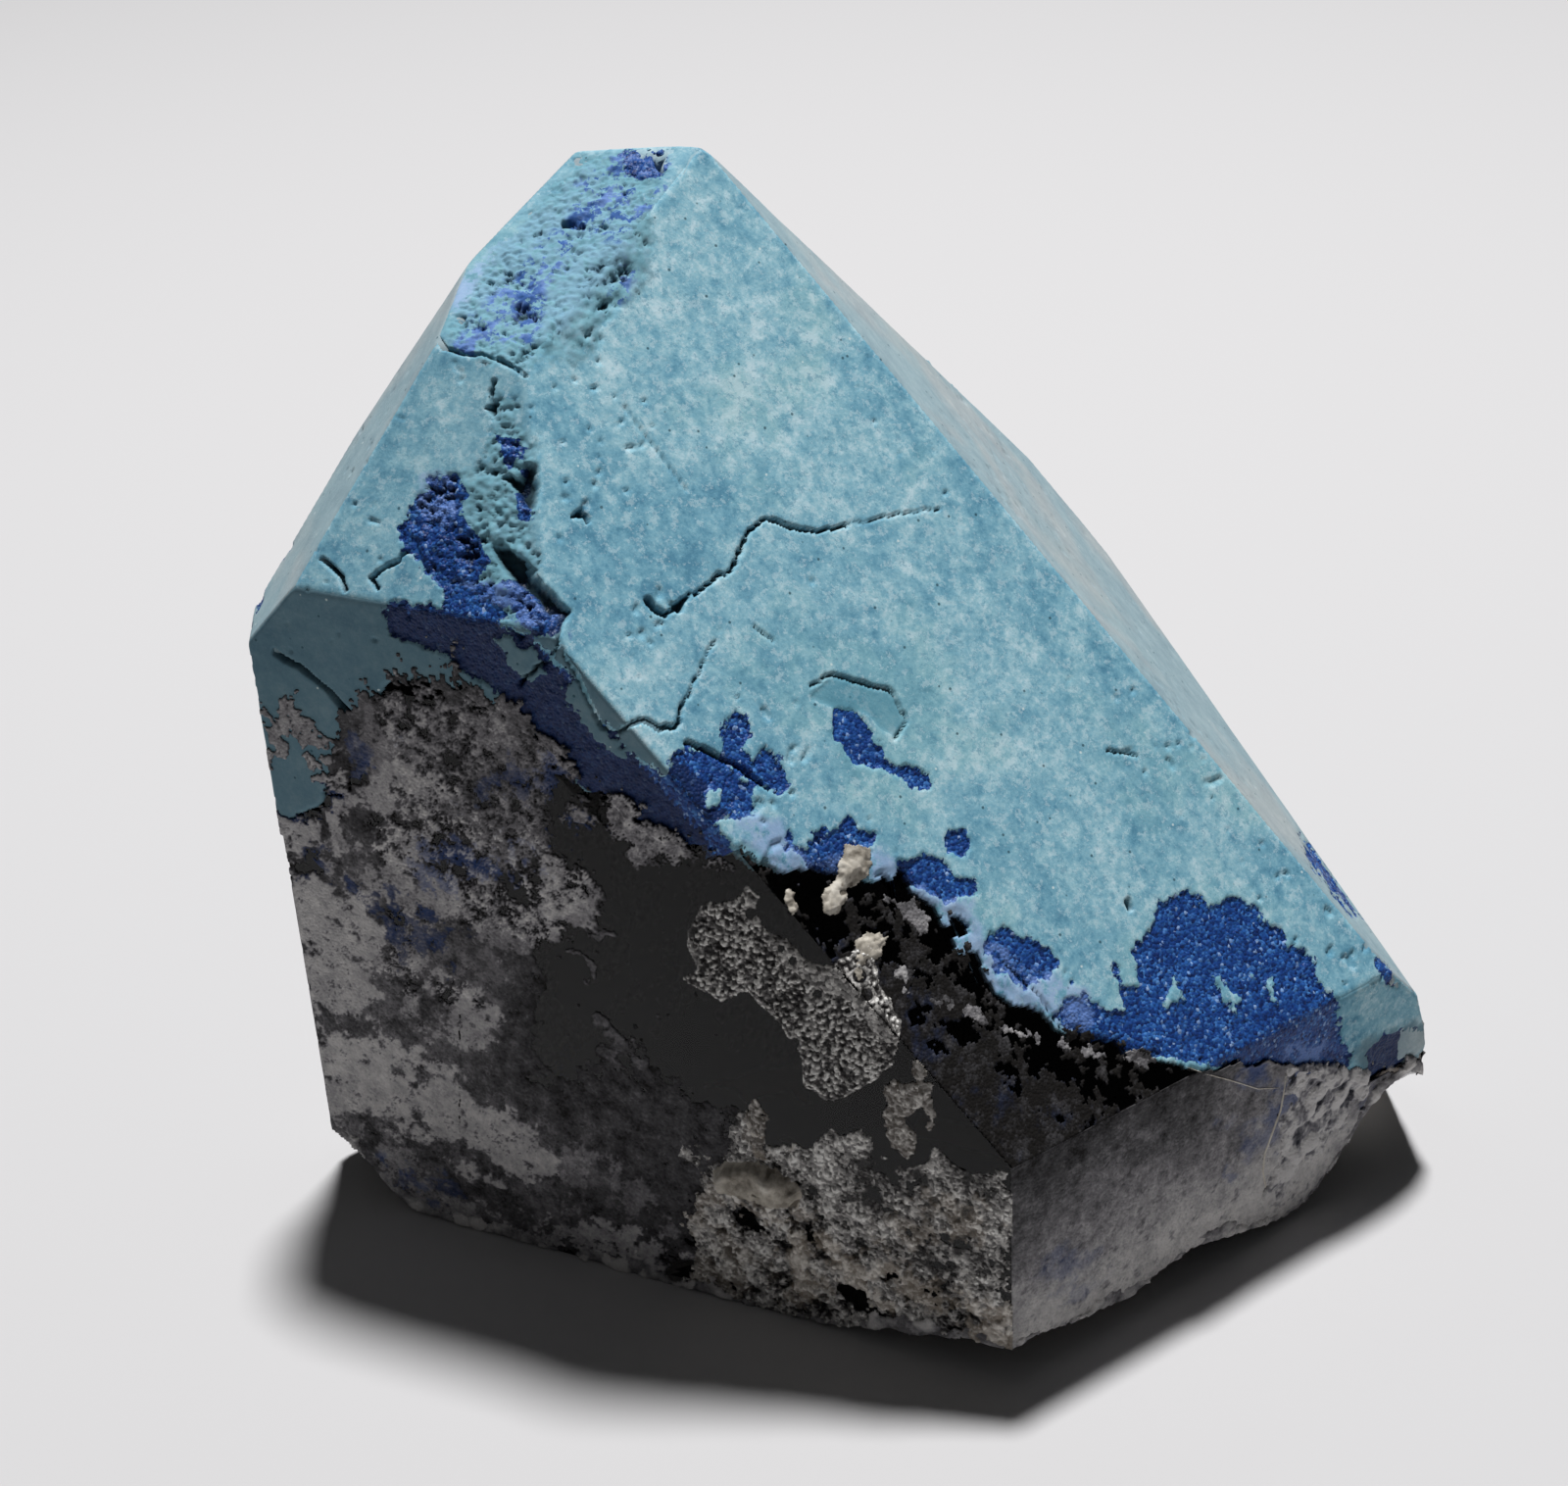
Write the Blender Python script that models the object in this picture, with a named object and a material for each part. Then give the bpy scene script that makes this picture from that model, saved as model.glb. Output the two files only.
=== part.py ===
"""A broken quartz crystal point with a thin crust of shattuckite and chrysocolla over its upper faces.

The crystal's long axis is upright (+Z) and it rests on its uneven fracture. The origin is the middle of
the base. Sizes and places are in millimetres and degrees, and the meshes are made in metres.
"""

from math import cos, pi, radians, sin

import bmesh
import bpy
from mathutils import Matrix, Vector, noise

MM = 0.001

# Moves everything so that the origin is the middle of the base
SHIFT = Vector((-0.08, 0.29, 0.0))

# The slope of a quartz point's end faces, as the angle of their normals above the horizontal
PYRAMID = 38.2

# Crystal faces: azimuth and slope of the normal, and distance from the origin
FACES = {
    "front prism": (-90.0, 0.0, 14.76),
    "right front prism": (-30.0, 0.0, 16.15),
    "right back prism": (30.0, 0.0, 19.97),
    "back prism": (90.0, 0.0, 14.78),
    "left back prism": (150.0, 0.0, 11.68),
    "left edge prism": (-150.0, 0.0, 24.25),
    "great slope": (-30.0, PYRAMID, 18.91),
    "right slope": (30.0, PYRAMID, 20.22),
    "front slope": (-90.0, PYRAMID, 29.31),
    "left slope": (-150.0, PYRAMID, 35.13),
    "back slope": (90.0, PYRAMID, 26.17),
    "broken shoulder": (-83.8, 65.8, 35.93),
    "broken left end": (-179.0, 33.6, 32.83),
    "broken top": (112.0, 63.6, 38.34),
    "blunted back edge": (45.6, 16.7, 18.20),
    "base": (0.0, -90.0, 0.0),
}

# The crust: how far it stands proud of the bare quartz, how far it reaches below, and the gap under it
CRUST_PROUD = 0.15
CRUST_DEPTH = 0.90
CRUST_GAP = 0.30
CRUST_EDGE_GAP = 0.45

# The crust's lower edge as (x, z), seen from the front, and the same for the back
FRONT_EDGE = (
    (-24.0, 16.5), (-19.8, 17.6), (-17.4, 19.6), (-15.8, 23.2), (-13.5, 25.6), (-10.6, 25.8), (-8.0, 24.5),
    (-5.8, 22.7), (-2.8, 20.9), (0.1, 21.2), (2.1, 19.8), (3.7, 19.1), (4.5, 18.8), (5.6, 17.4), (6.7, 16.2),
    (8.0, 14.8), (9.8, 13.4), (11.2, 12.3), (13.9, 10.7), (15.7, 9.6), (17.0, 8.2), (18.0, 6.4), (19.2, 5.1),
    (24.0, 4.7),
)
BACK_EDGE = ((-24.0, 16.5), (-12.0, 15.5), (-5.0, 12.5), (2.0, 10.0), (8.0, 8.6), (13.0, 7.0), (24.0, 4.7))
FRONT_EDGE_ENDS_Y = 4.0
BACK_EDGE_STARTS_Y = 13.0
EDGE_ACROSS = 60
EDGE_DEEP = 14
EDGE_HALF = 24.0
EDGE_RAGGED = 0.35
ABOVE_ALL = 60.0

# Where the skin has flaked off the blue, on the great slope: (across, up the slope)
FLAKED_DEPTH = 0.30
FLAKED = (
    (
        (1.4, 3.9), (3.6, 4.2), (5.4, 3.4), (7.1, 2.3), (7.7, 0.6), (8.5, -1.3), (8.0, -3.4), (5.0, -3.2),
        (2.6, -2.4), (0.8, -0.8), (-1.8, 0.7), (-0.6, 2.0), (0.4, 2.4),
    ),
    ((-11.4, 16.7), (-10.2, 16.2), (-10.5, 15.1), (-9.5, 14.5), (-10.1, 13.4), (-11.1, 14.0), (-11.6, 15.4)),
    ((-6.8, 15.4), (-5.9, 15.0), (-5.3, 13.1), (-4.3, 11.7), (-5.0, 11.5), (-6.1, 12.7), (-6.9, 13.7)),
    ((-13.1, 15.9), (-11.9, 15.5), (-11.6, 13.3), (-12.6, 13.2)),
    ((-6.8, 9.7), (-5.2, 9.2), (-4.2, 7.7), (-5.1, 7.2), (-6.6, 8.2)),
    ((-4.9, 5.9), (-3.0, 5.4), (-1.9, 3.5), (-2.9, 3.0), (-4.6, 4.1)),
)

# Cracks through the skin: the face, the points along it, and the widest opening
CRACK_DEPTH = 0.55
CRACKS = (
    ("great slope", ((-12.3, 21.6), (-11.7, 20.6), (-11.0, 20.7), (-10.3, 21.2)), 0.34),
    ("great slope", ((-9.9, 21.3), (-8.5, 21.5), (-7.2, 22.6), (-6.1, 22.7), (-3.9, 21.7), (0.7, 21.0)), 0.12),
    ("great slope", ((-14.2, 17.5), (-13.0, 16.9), (-12.4, 17.7)), 0.26),
    ("great slope", ((-12.9, 16.4), (-12.1, 15.2)), 0.20),
    ("front prism", ((-18.4, 25.7), (-17.0, 25.0), (-15.7, 23.9)), 0.30),
    ("front slope", ((-13.6, 23.2), (-12.3, 23.0), (-10.6, 22.8)), 0.24),
)

# Holes in the crumbled ridge between the great slope and the front slope: (x, y, z) and radius
CAVITIES = (
    ((-10.0, -9.7, 35.5), 0.60), ((-9.6, -11.1, 34.1), 0.75), ((-8.9, -11.9, 32.9), 0.85),
    ((-9.1, -13.1, 32.0), 0.70), ((-8.3, -13.4, 30.9), 0.90), ((-7.4, -14.0, 29.9), 0.70),
    ((-6.8, -14.5, 28.9), 0.65), ((-12.0, -12.2, 32.0), 0.65), ((-10.4, -12.6, 31.2), 0.75),
    ((-12.4, -13.4, 30.1), 0.55), ((-9.3, -4.0, 40.6), 0.90), ((1.9, -0.4, 27.2), 0.35),
)
CAVITY_ROUGH = 0.45
CAVITY_STRETCH = (1.45, 0.75, 0.95)

# How rough each part of the crust is, and the ridge that has crumbled
SKIN_ROUGH = 0.10
BROKEN_ROUGH = 0.62
BROKEN_WEAR = 0.85
RIDGE_LOW = Vector((-6.8, -14.8, 28.7))
RIDGE_HIGH = Vector((-10.0, -9.2, 35.8))
RIDGE_REACH = 3.4

# Where the fracture climbs above the base: (x, y), reach and height
LIFT_FADES_AT = 7.5
CHIPS = (
    ((-20.6, -14.8), 5.5, 3.6), ((10.2, -14.8), 9.5, 1.5), ((15.0, -6.5), 6.5, 1.3), ((20.8, 2.5), 6.5, 4.4),
    ((14.0, 12.5), 6.5, 2.4), ((-15.5, 3.5), 4.5, 2.1), ((1.0, 15.5), 5.0, 1.6), ((3.0, 3.0), 4.5, 0.7),
)
FRACTURE_ROUGH = 0.30
RIM_WIDTH = 0.5
RIM_CHIPPED = 0.55
RIM_FACES = ("front prism", "right front prism", "right back prism", "back prism", "left back prism")

# Curved bites of the fracture: centre (x, y, z) and radius
BITES = (((20.9, -1.5, 4.2), 3.4), ((-15.5, -9.0, -6.6), 7.6), ((9.5, 12.0, -4.6), 6.4), ((12.0, -6.5, -5.2), 6.3))
BITE_ROUGH = 0.10
BALL_TURN = radians(67.0)

# Sugary quartz grown on the front prism face: (x, z) outlines and how far it stands out
DRUSE_HEIGHT = 0.30
DRUSE = (
    ((-2.2, 17.4), (-0.2, 19.2), (1.0, 19.4), (2.0, 17.9), (5.0, 18.6), (6.0, 15.5), (5.5, 13.0), (2.8, 11.0),
     (1.8, 13.4), (-1.2, 14.6)),
    ((-3.5, 6.8), (-0.4, 9.2), (5.1, 10.3), (8.9, 9.6), (10.6, 7.3), (10.6, 1.0), (-2.0, 0.6)),
)

# Lumps on the front prism face: (x, z), half width, half height and how far they stand out
LUMPS = (
    ((-0.3, 6.6), 2.0, 1.1, 0.75), ((4.4, 2.6), 1.2, 0.8, 0.45), ((7.2, 2.9), 1.3, 0.9, 0.50),
    ((5.4, 17.3), 0.9, 0.9, 0.40), ((8.6, 4.6), 1.1, 0.9, 0.35), ((2.2, 5.0), 1.2, 0.8, 0.35),
)

# Lengths of the mesh edges, fine where there is relief
FINE = 0.9
RIM_LENGTH = 1.3
RIM_HEIGHT = 1.2
CRUMBLED_LENGTH = 1.1
CRUST_LENGTH = 3.0
QUARTZ_LENGTH = 3.2
BLOCK_SIZE = 90.0
MOST_SPLITS = 12
CLEAN_DISTANCE = 0.01


def clear_scene():
    for old in list(bpy.data.objects):
        bpy.data.objects.remove(old, do_unlink=True)


def collection(name):
    made = bpy.data.collections.new(name)
    bpy.context.scene.collection.children.link(made)
    return made


def finish(name, colour, roughness, metallic=0.0, clear=0.0):
    made = bpy.data.materials.new(name)
    made.use_nodes = True
    shader = made.node_tree.nodes["Principled BSDF"]
    shader.inputs["Base Color"].default_value = (*colour, 1.0)
    shader.inputs["Roughness"].default_value = roughness
    shader.inputs["Metallic"].default_value = metallic
    shader.inputs["Transmission Weight"].default_value = clear
    made.diffuse_color = (*colour, 1.0)
    return made


def axes_of(face):
    """The face's own directions: across it, up its slope, and out of it."""
    azimuth, slope, _ = FACES[face]
    a, s = radians(azimuth), radians(slope)
    across = Vector((-sin(a), cos(a), 0.0))
    rise = Vector((-sin(s) * cos(a), -sin(s) * sin(a), cos(s)))
    out = Vector((cos(s) * cos(a), cos(s) * sin(a), sin(s)))
    return across, rise, out


def link(mesh_name, bm, home, material=None):
    """Puts a bmesh worked out in millimetres into a new object in metres."""
    bmesh.ops.translate(bm, vec=SHIFT, verts=bm.verts)
    bmesh.ops.scale(bm, vec=(MM, MM, MM), verts=bm.verts)
    bmesh.ops.recalc_face_normals(bm, faces=bm.faces)
    mesh = bpy.data.meshes.new(mesh_name)
    bm.to_mesh(mesh)
    bm.free()
    made = bpy.data.objects.new(mesh_name, mesh)
    if material:
        mesh.materials.append(material)
    home.objects.link(made)
    return made


def hide_helper(helper):
    helper.hide_render = True
    helper.display_type = "WIRE"


def crystal(grow):
    """A block cut by every crystal face, each moved out by grow millimetres."""
    bm = bmesh.new()
    bmesh.ops.create_cube(bm, size=BLOCK_SIZE)
    for face, (_, _, distance) in FACES.items():
        out = axes_of(face)[2]
        away = distance + (0.0 if face == "base" else grow)
        cut = bmesh.ops.bisect_plane(
            bm,
            geom=bm.verts[:] + bm.edges[:] + bm.faces[:],
            plane_co=out * away,
            plane_no=out,
            clear_outer=True,
        )
        rim = [e for e in cut["geom_cut"] if isinstance(e, bmesh.types.BMEdge)]
        bmesh.ops.edgeloop_fill(bm, edges=rim)
        bmesh.ops.remove_doubles(bm, verts=bm.verts, dist=CLEAN_DISTANCE)
    return bm


def refine(bm, longest):
    """Splits edges that are longer than longest, a function of a place, gives for their middle."""
    for _ in range(MOST_SPLITS):
        bmesh.ops.triangulate(bm, faces=bm.faces)
        long_edges = [e for e in bm.edges if e.calc_length() > longest((e.verts[0].co + e.verts[1].co) / 2)]
        if not long_edges:
            break
        bmesh.ops.subdivide_edges(bm, edges=long_edges, cuts=1, use_grid_fill=True)
    bmesh.ops.triangulate(bm, faces=bm.faces)
    bm.normal_update()


def smooth(t):
    t = min(1.0, max(0.0, t))
    return t * t * (3.0 - 2.0 * t)


def on_face(point, face, grow=0.0, within=0.05):
    return abs(point.dot(axes_of(face)[2]) - FACES[face][2] - grow) < within


def ridge_wear(point):
    """1 on the crumbled ridge, falling to 0 at its reach."""
    along = RIDGE_HIGH - RIDGE_LOW
    t = min(1.0, max(0.0, (point - RIDGE_LOW).dot(along) / along.length_squared))
    return smooth(1.0 - (point - RIDGE_LOW - along * t).length / RIDGE_REACH)


def roughen_crust(bm):
    """Sinks the skin a little everywhere, and deeply where it is broken or crumbled."""
    moves = []
    for v in bm.verts:
        broken = on_face(v.co, "broken shoulder", CRUST_PROUD) or on_face(v.co, "broken top", CRUST_PROUD)
        wear = max(ridge_wear(v.co), BROKEN_WEAR if broken else 0.0)
        fine = 0.5 + 0.9 * noise.noise(v.co * 0.75)
        broad = 0.5 + 0.5 * noise.noise(v.co * 0.22 + Vector((7.0, 3.0, 1.0)))
        deep = SKIN_ROUGH * broad + BROKEN_ROUGH * wear * fine
        moves.append((v, v.normal * -deep))
    for v, move in moves:
        v.co += move


def inside(outline, x, z):
    """True inside the outline, by counting the sides that a ray crosses."""
    found = False
    for (x0, z0), (x1, z1) in zip(outline, outline[1:] + outline[:1]):
        if (z0 > z) != (z1 > z) and x < (x1 - x0) * (z - z0) / (z1 - z0) + x0:
            found = not found
    return found


def growth(point):
    """How far the front prism face stands out: druse with a grainy top, and rounded lumps."""
    x, z = point.x, point.z
    out = 0.0
    if any(inside(outline, x, z) for outline in DRUSE):
        out = DRUSE_HEIGHT * (0.75 + 0.5 * noise.noise(point * 1.7))
    for (cx, cz), wide, high, tall in LUMPS:
        far = ((x - cx) / wide) ** 2 + ((z - cz) / high) ** 2
        out = max(out, tall * max(0.0, 1.0 - far) ** 0.5)
    return out


def grow_druse(bm):
    for v in bm.verts:
        if on_face(v.co, "front prism") and not on_face(v.co, "right front prism"):
            v.co += axes_of("front prism")[2] * growth(v.co)


def near_rim(point):
    return any(on_face(point, face, within=RIM_WIDTH) for face in RIM_FACES)


def fracture_height(point):
    """The fracture above the base: the chips' rounded rises, and small nicks along the rim."""
    lift = 0.0
    for (cx, cy), reach, height in CHIPS:
        away = ((point.x - cx) ** 2 + (point.y - cy) ** 2) ** 0.5
        lift += height * smooth(1.0 - away / reach)
    rough = noise.noise(Vector((point.x * 0.5, point.y * 0.5, 4.0)))
    lift = max(0.0, lift + FRACTURE_ROUGH * rough * min(1.0, 2.0 * lift))
    if near_rim(point):
        lift += RIM_CHIPPED * max(0.0, 0.35 + noise.noise(Vector((point.x * 0.8, point.y * 0.8, 9.0))))
    return lift


def break_base(bm):
    """Lifts the lowest part of the crystal to the fracture, less and less up to LIFT_FADES_AT."""
    for v in bm.verts:
        if v.co.z < LIFT_FADES_AT:
            v.co.z += fracture_height(v.co) * (1.0 - v.co.z / LIFT_FADES_AT)


def read_edge(points, x):
    for (x0, z0), (x1, z1) in zip(points, points[1:]):
        if x <= x1:
            return z0 + (z1 - z0) * (x - x0) / (x1 - x0)
    return points[-1][1]


def edge_height(x, y):
    """The height of the crust's ragged lower edge over the point (x, y)."""
    t = smooth((y - FRONT_EDGE_ENDS_Y) / (BACK_EDGE_STARTS_Y - FRONT_EDGE_ENDS_Y))
    height = read_edge(FRONT_EDGE, x) * (1.0 - t) + read_edge(BACK_EDGE, x) * t
    ragged = noise.noise(Vector((x * 0.9, y * 0.5 * t, 2.0)))
    return height + EDGE_RAGGED * ragged


def upper_region(name, drop, home):
    """The space above the crust's lower edge: a grid bent to that edge and drawn upwards."""
    bm = bmesh.new()
    bmesh.ops.create_grid(bm, x_segments=EDGE_ACROSS, y_segments=EDGE_DEEP, size=EDGE_HALF)
    floor_faces = bm.faces[:]
    for v in bm.verts:
        v.co.z = edge_height(v.co.x, v.co.y) - drop
    drawn = bmesh.ops.extrude_face_region(bm, geom=floor_faces, use_keep_orig=True)
    for v in drawn["geom"]:
        if isinstance(v, bmesh.types.BMVert):
            v.co.z = ABOVE_ALL
    region = link(name, bm, home)
    hide_helper(region)
    return region


def flat_solid(outline, depth, place):
    """A mesh of the filled outline with the given thickness, moved by the matrix place."""
    curve = bpy.data.curves.new("outline", "CURVE")
    curve.dimensions = "2D"
    curve.fill_mode = "BOTH"
    curve.extrude = depth / 2
    line = curve.splines.new("POLY")
    line.points.add(len(outline) - 1)
    for point, (x, y) in zip(line.points, outline):
        point.co = (x, y, 0.0, 1.0)
    line.use_cyclic_u = True
    carrier = bpy.data.objects.new("outline", curve)
    bpy.context.scene.collection.objects.link(carrier)
    graph = bpy.context.evaluated_depsgraph_get()
    mesh = bpy.data.meshes.new_from_object(carrier.evaluated_get(graph))
    mesh.transform(place)
    bpy.data.objects.remove(carrier, do_unlink=True)
    bpy.data.curves.remove(curve)
    return mesh


def face_matrix(face, grow):
    """Takes (across, up the slope, out) to the part's own directions."""
    across, rise, out = axes_of(face)
    place = Matrix((across, rise, out)).transposed().to_4x4()
    place.translation = out * (FACES[face][2] + grow)
    return place


def crack_outline(points, widest):
    """A sliver along the points, widest in its middle and closed at its ends."""
    left, right = [], []
    for i, point in enumerate(points):
        before = Vector(points[max(0, i - 1)])
        after = Vector(points[min(len(points) - 1, i + 1)])
        side = (after - before).normalized().orthogonal()
        open_by = widest * max(0.25, sin(pi * (i + 0.5) / len(points))) / 2
        left.append(tuple(Vector(point) + side * open_by))
        right.append(tuple(Vector(point) - side * open_by))
    return left + right[::-1]


def flat_cuts(name, cuts, home):
    """One helper mesh holding every (face, outline, depth) cut."""
    bm = bmesh.new()
    for face, outline, depth in cuts:
        mesh = flat_solid(outline, 2 * depth, face_matrix(face, CRUST_PROUD))
        bm.from_mesh(mesh)
        bpy.data.meshes.remove(mesh)
    bmesh.ops.remove_doubles(bm, verts=bm.verts, dist=CLEAN_DISTANCE)
    cutter = link(name, bm, home)
    hide_helper(cutter)
    return cutter


def lumpy_balls(name, balls, detail, rough, stretch, home):
    """Helper balls with uneven sides, each turned its own way. The balls of one call don't overlap."""
    bm = bmesh.new()
    for count, (centre, radius) in enumerate(balls):
        ball = bmesh.ops.create_icosphere(bm, subdivisions=detail, radius=radius)
        turn = Matrix.Rotation(BALL_TURN * count, 3, "X") @ Matrix.Rotation(BALL_TURN * count, 3, "Z")
        for v in ball["verts"]:
            uneven = 1.0 + rough * noise.noise(v.co * 1.6 / radius + Vector(centre))
            v.co = turn @ (v.co * uneven * Vector(stretch)) + Vector(centre)
    cutter = link(name, bm, home)
    hide_helper(cutter)
    return cutter


def boolean(target, operation, tool):
    step = target.modifiers.new(operation.lower() + " " + tool.name, "BOOLEAN")
    step.operation = operation
    step.solver = "EXACT"
    step.object = tool


def quartz_edge_length(point):
    if on_face(point, "front prism") and growth(point) > 0.0:
        return FINE
    return RIM_LENGTH if point.z < RIM_HEIGHT and near_rim(point) else QUARTZ_LENGTH


def crust_edge_length(point):
    broken = on_face(point, "broken shoulder", CRUST_PROUD)
    return CRUMBLED_LENGTH if broken or ridge_wear(point) > 0.0 else CRUST_LENGTH


def make_crust(home, helpers, region):
    bm = crystal(CRUST_PROUD)
    refine(bm, crust_edge_length)
    roughen_crust(bm)
    skin = finish("shattuckite and chrysocolla", (0.22, 0.47, 0.52), 0.75)
    crust = link("shattuckite_crust", bm, home, skin)
    core = link("space inside the crust", crystal(-CRUST_DEPTH), helpers)
    hide_helper(core)
    flaked = [("great slope", outline, FLAKED_DEPTH) for outline in FLAKED]
    cracks = [(face, crack_outline(points, wide), CRACK_DEPTH) for face, points, wide in CRACKS]
    boolean(crust, "INTERSECT", region)
    boolean(crust, "DIFFERENCE", core)
    boolean(crust, "DIFFERENCE", flat_cuts("flaked patches", flaked, helpers))
    boolean(crust, "DIFFERENCE", flat_cuts("cracks", cracks, helpers))
    for name, balls in (("cavities", CAVITIES[::2]), ("cavities between", CAVITIES[1::2])):
        boolean(crust, "DIFFERENCE", lumpy_balls(name, balls, 2, CAVITY_ROUGH, CAVITY_STRETCH, helpers))
    return crust


def make_quartz(home, helpers):
    bm = crystal(0.0)
    refine(bm, quartz_edge_length)
    grow_druse(bm)
    break_base(bm)
    clear = finish("clear quartz", (0.30, 0.30, 0.30), 0.05, clear=1.0)
    quartz = link("quartz_crystal", bm, home, clear)
    pocket = upper_region("room for the crust", CRUST_EDGE_GAP, helpers)
    core = link("quartz under the crust", crystal(-CRUST_DEPTH - CRUST_GAP), helpers)
    hide_helper(core)
    boolean(pocket, "DIFFERENCE", core)
    boolean(quartz, "DIFFERENCE", pocket)
    boolean(quartz, "DIFFERENCE", lumpy_balls("bites", BITES, 3, BITE_ROUGH, (1.0, 1.0, 1.0), helpers))
    return quartz


def main():
    clear_scene()
    home = collection("shattuckite_specimen")
    helpers = collection("cutters")
    region = upper_region("above the crust's lower edge", 0.0, helpers)
    make_quartz(home, helpers)
    make_crust(home, helpers, region)


main()
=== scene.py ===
"""Looks of a broken quartz crystal point under a thin crust of turquoise chrysocolla skin and royal blue shattuckite.

Lengths are in millimetres in the crystal's own directions, with its long axis upright, until a mesh is made.
What the picture shows is drawn on the faces from picture points, through the same camera that the scene has.
"""

from functools import partial
from itertools import combinations, product
from math import cos, pi, radians, sin

import bmesh
import bpy
import numpy as np
from mathutils import Matrix


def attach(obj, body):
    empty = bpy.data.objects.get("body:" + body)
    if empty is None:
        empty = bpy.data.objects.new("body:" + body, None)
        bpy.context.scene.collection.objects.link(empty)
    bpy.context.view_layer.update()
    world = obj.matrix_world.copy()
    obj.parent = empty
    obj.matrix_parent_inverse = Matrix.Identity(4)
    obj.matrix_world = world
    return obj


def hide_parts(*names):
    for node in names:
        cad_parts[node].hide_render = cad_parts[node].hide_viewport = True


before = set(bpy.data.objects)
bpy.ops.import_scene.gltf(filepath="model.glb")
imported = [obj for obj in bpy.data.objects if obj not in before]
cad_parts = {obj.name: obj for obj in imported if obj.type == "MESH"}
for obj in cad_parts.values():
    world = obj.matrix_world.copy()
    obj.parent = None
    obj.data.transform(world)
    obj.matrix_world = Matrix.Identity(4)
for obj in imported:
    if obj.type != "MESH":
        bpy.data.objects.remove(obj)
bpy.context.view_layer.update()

MM = 0.001
SHIFT = np.array((-0.08, 0.29, 0.0))

# Crystal faces: azimuth and slope of the normal in degrees, and distance from the origin
FACES = {
    "front prism": (-90.0, 0.0, 14.76),
    "right front prism": (-30.0, 0.0, 16.15),
    "right back prism": (30.0, 0.0, 19.97),
    "back prism": (90.0, 0.0, 14.78),
    "left back prism": (150.0, 0.0, 11.68),
    "left edge prism": (-150.0, 0.0, 24.25),
    "great slope": (-30.0, 38.2, 18.91),
    "right slope": (30.0, 38.2, 20.22),
    "front slope": (-90.0, 38.2, 29.31),
    "left slope": (-150.0, 38.2, 35.13),
    "back slope": (90.0, 38.2, 26.17),
    "broken shoulder": (-83.8, 65.8, 35.93),
    "broken left end": (-179.0, 33.6, 32.83),
    "broken top": (112.0, 63.6, 38.34),
    "blunted back edge": (45.6, 16.7, 18.20),
    "base": (0.0, -90.0, 0.0),
}

# The camera, found from the crystal's edges in the picture
AIM = np.array((0.0, -10.6, 23.275))
AZIMUTH, ELEVATION, ROLL = radians(26.05), radians(30.29), radians(-3.09)
DISTANCE = 94.5
FOCAL = 2700.0
PICTURE = (1600, 1516)
MIDDLE = np.array((800.0, 758.0))
PIXEL = 0.035
SENSOR = 36.0

BACK = np.array((sin(AZIMUTH) * cos(ELEVATION), -cos(AZIMUTH) * cos(ELEVATION), sin(ELEVATION)))
LEVEL = np.array((cos(AZIMUTH), sin(AZIMUTH), 0.0))
UPRIGHT = np.cross(BACK, LEVEL)
RIGHT = cos(ROLL) * LEVEL + sin(ROLL) * UPRIGHT
UP = -sin(ROLL) * LEVEL + cos(ROLL) * UPRIGHT

# The crust's lower edge as (x, height) in front, and the same behind
FRONT_EDGE = (
    (-24.0, 16.5), (-19.8, 17.6), (-17.4, 19.6), (-15.8, 23.2), (-13.5, 25.6), (-10.6, 25.8), (-8.0, 24.5),
    (-5.8, 22.7), (-2.8, 20.9), (0.1, 21.2), (2.1, 20.1), (3.7, 19.1), (4.5, 19.0), (5.6, 17.8), (6.7, 16.7),
    (8.0, 15.1), (9.8, 13.4), (11.2, 12.3), (13.9, 10.7), (15.7, 9.6), (17.0, 8.2), (18.0, 6.4), (19.2, 5.1),
    (24.0, 4.7),
)
BACK_EDGE = ((-24.0, 16.5), (-12.0, 15.5), (-5.0, 12.5), (2.0, 10.0), (8.0, 8.6), (13.0, 7.0), (24.0, 4.7))
FRONT_EDGE_ENDS_Y, BACK_EDGE_STARTS_Y = 4.0, 13.0

# How far the crust stands proud of the quartz, how thick its skin is, and how round its edges are
PROUD, SKIN, ROUNDED = 0.15, 0.10, 0.22
# How deep the cracks, round pits and peeled parts are, and how thin the crust gets at its broken edge
CRACK_DEPTH, PIT_DEPTH, PEEL_DEPTH, THINNED = 0.42, 0.09, 0.05, 0.09
# The crust's sheets run on past the face's corners, fall away there, and are closed by a back this far in
CRUST_OVERLAP, CRUST_BACK = 0.35, 0.55
# A film lies this far over the face and is this thick at least
FILM_LIFT, FILM_BACK = 0.012, 0.05
# The quartz is drawn in under the crust, toward a point at its heart
QUARTZ_HEART, DRAWN_IN = (0.0, 0.0, 14.0), 0.62

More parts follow.
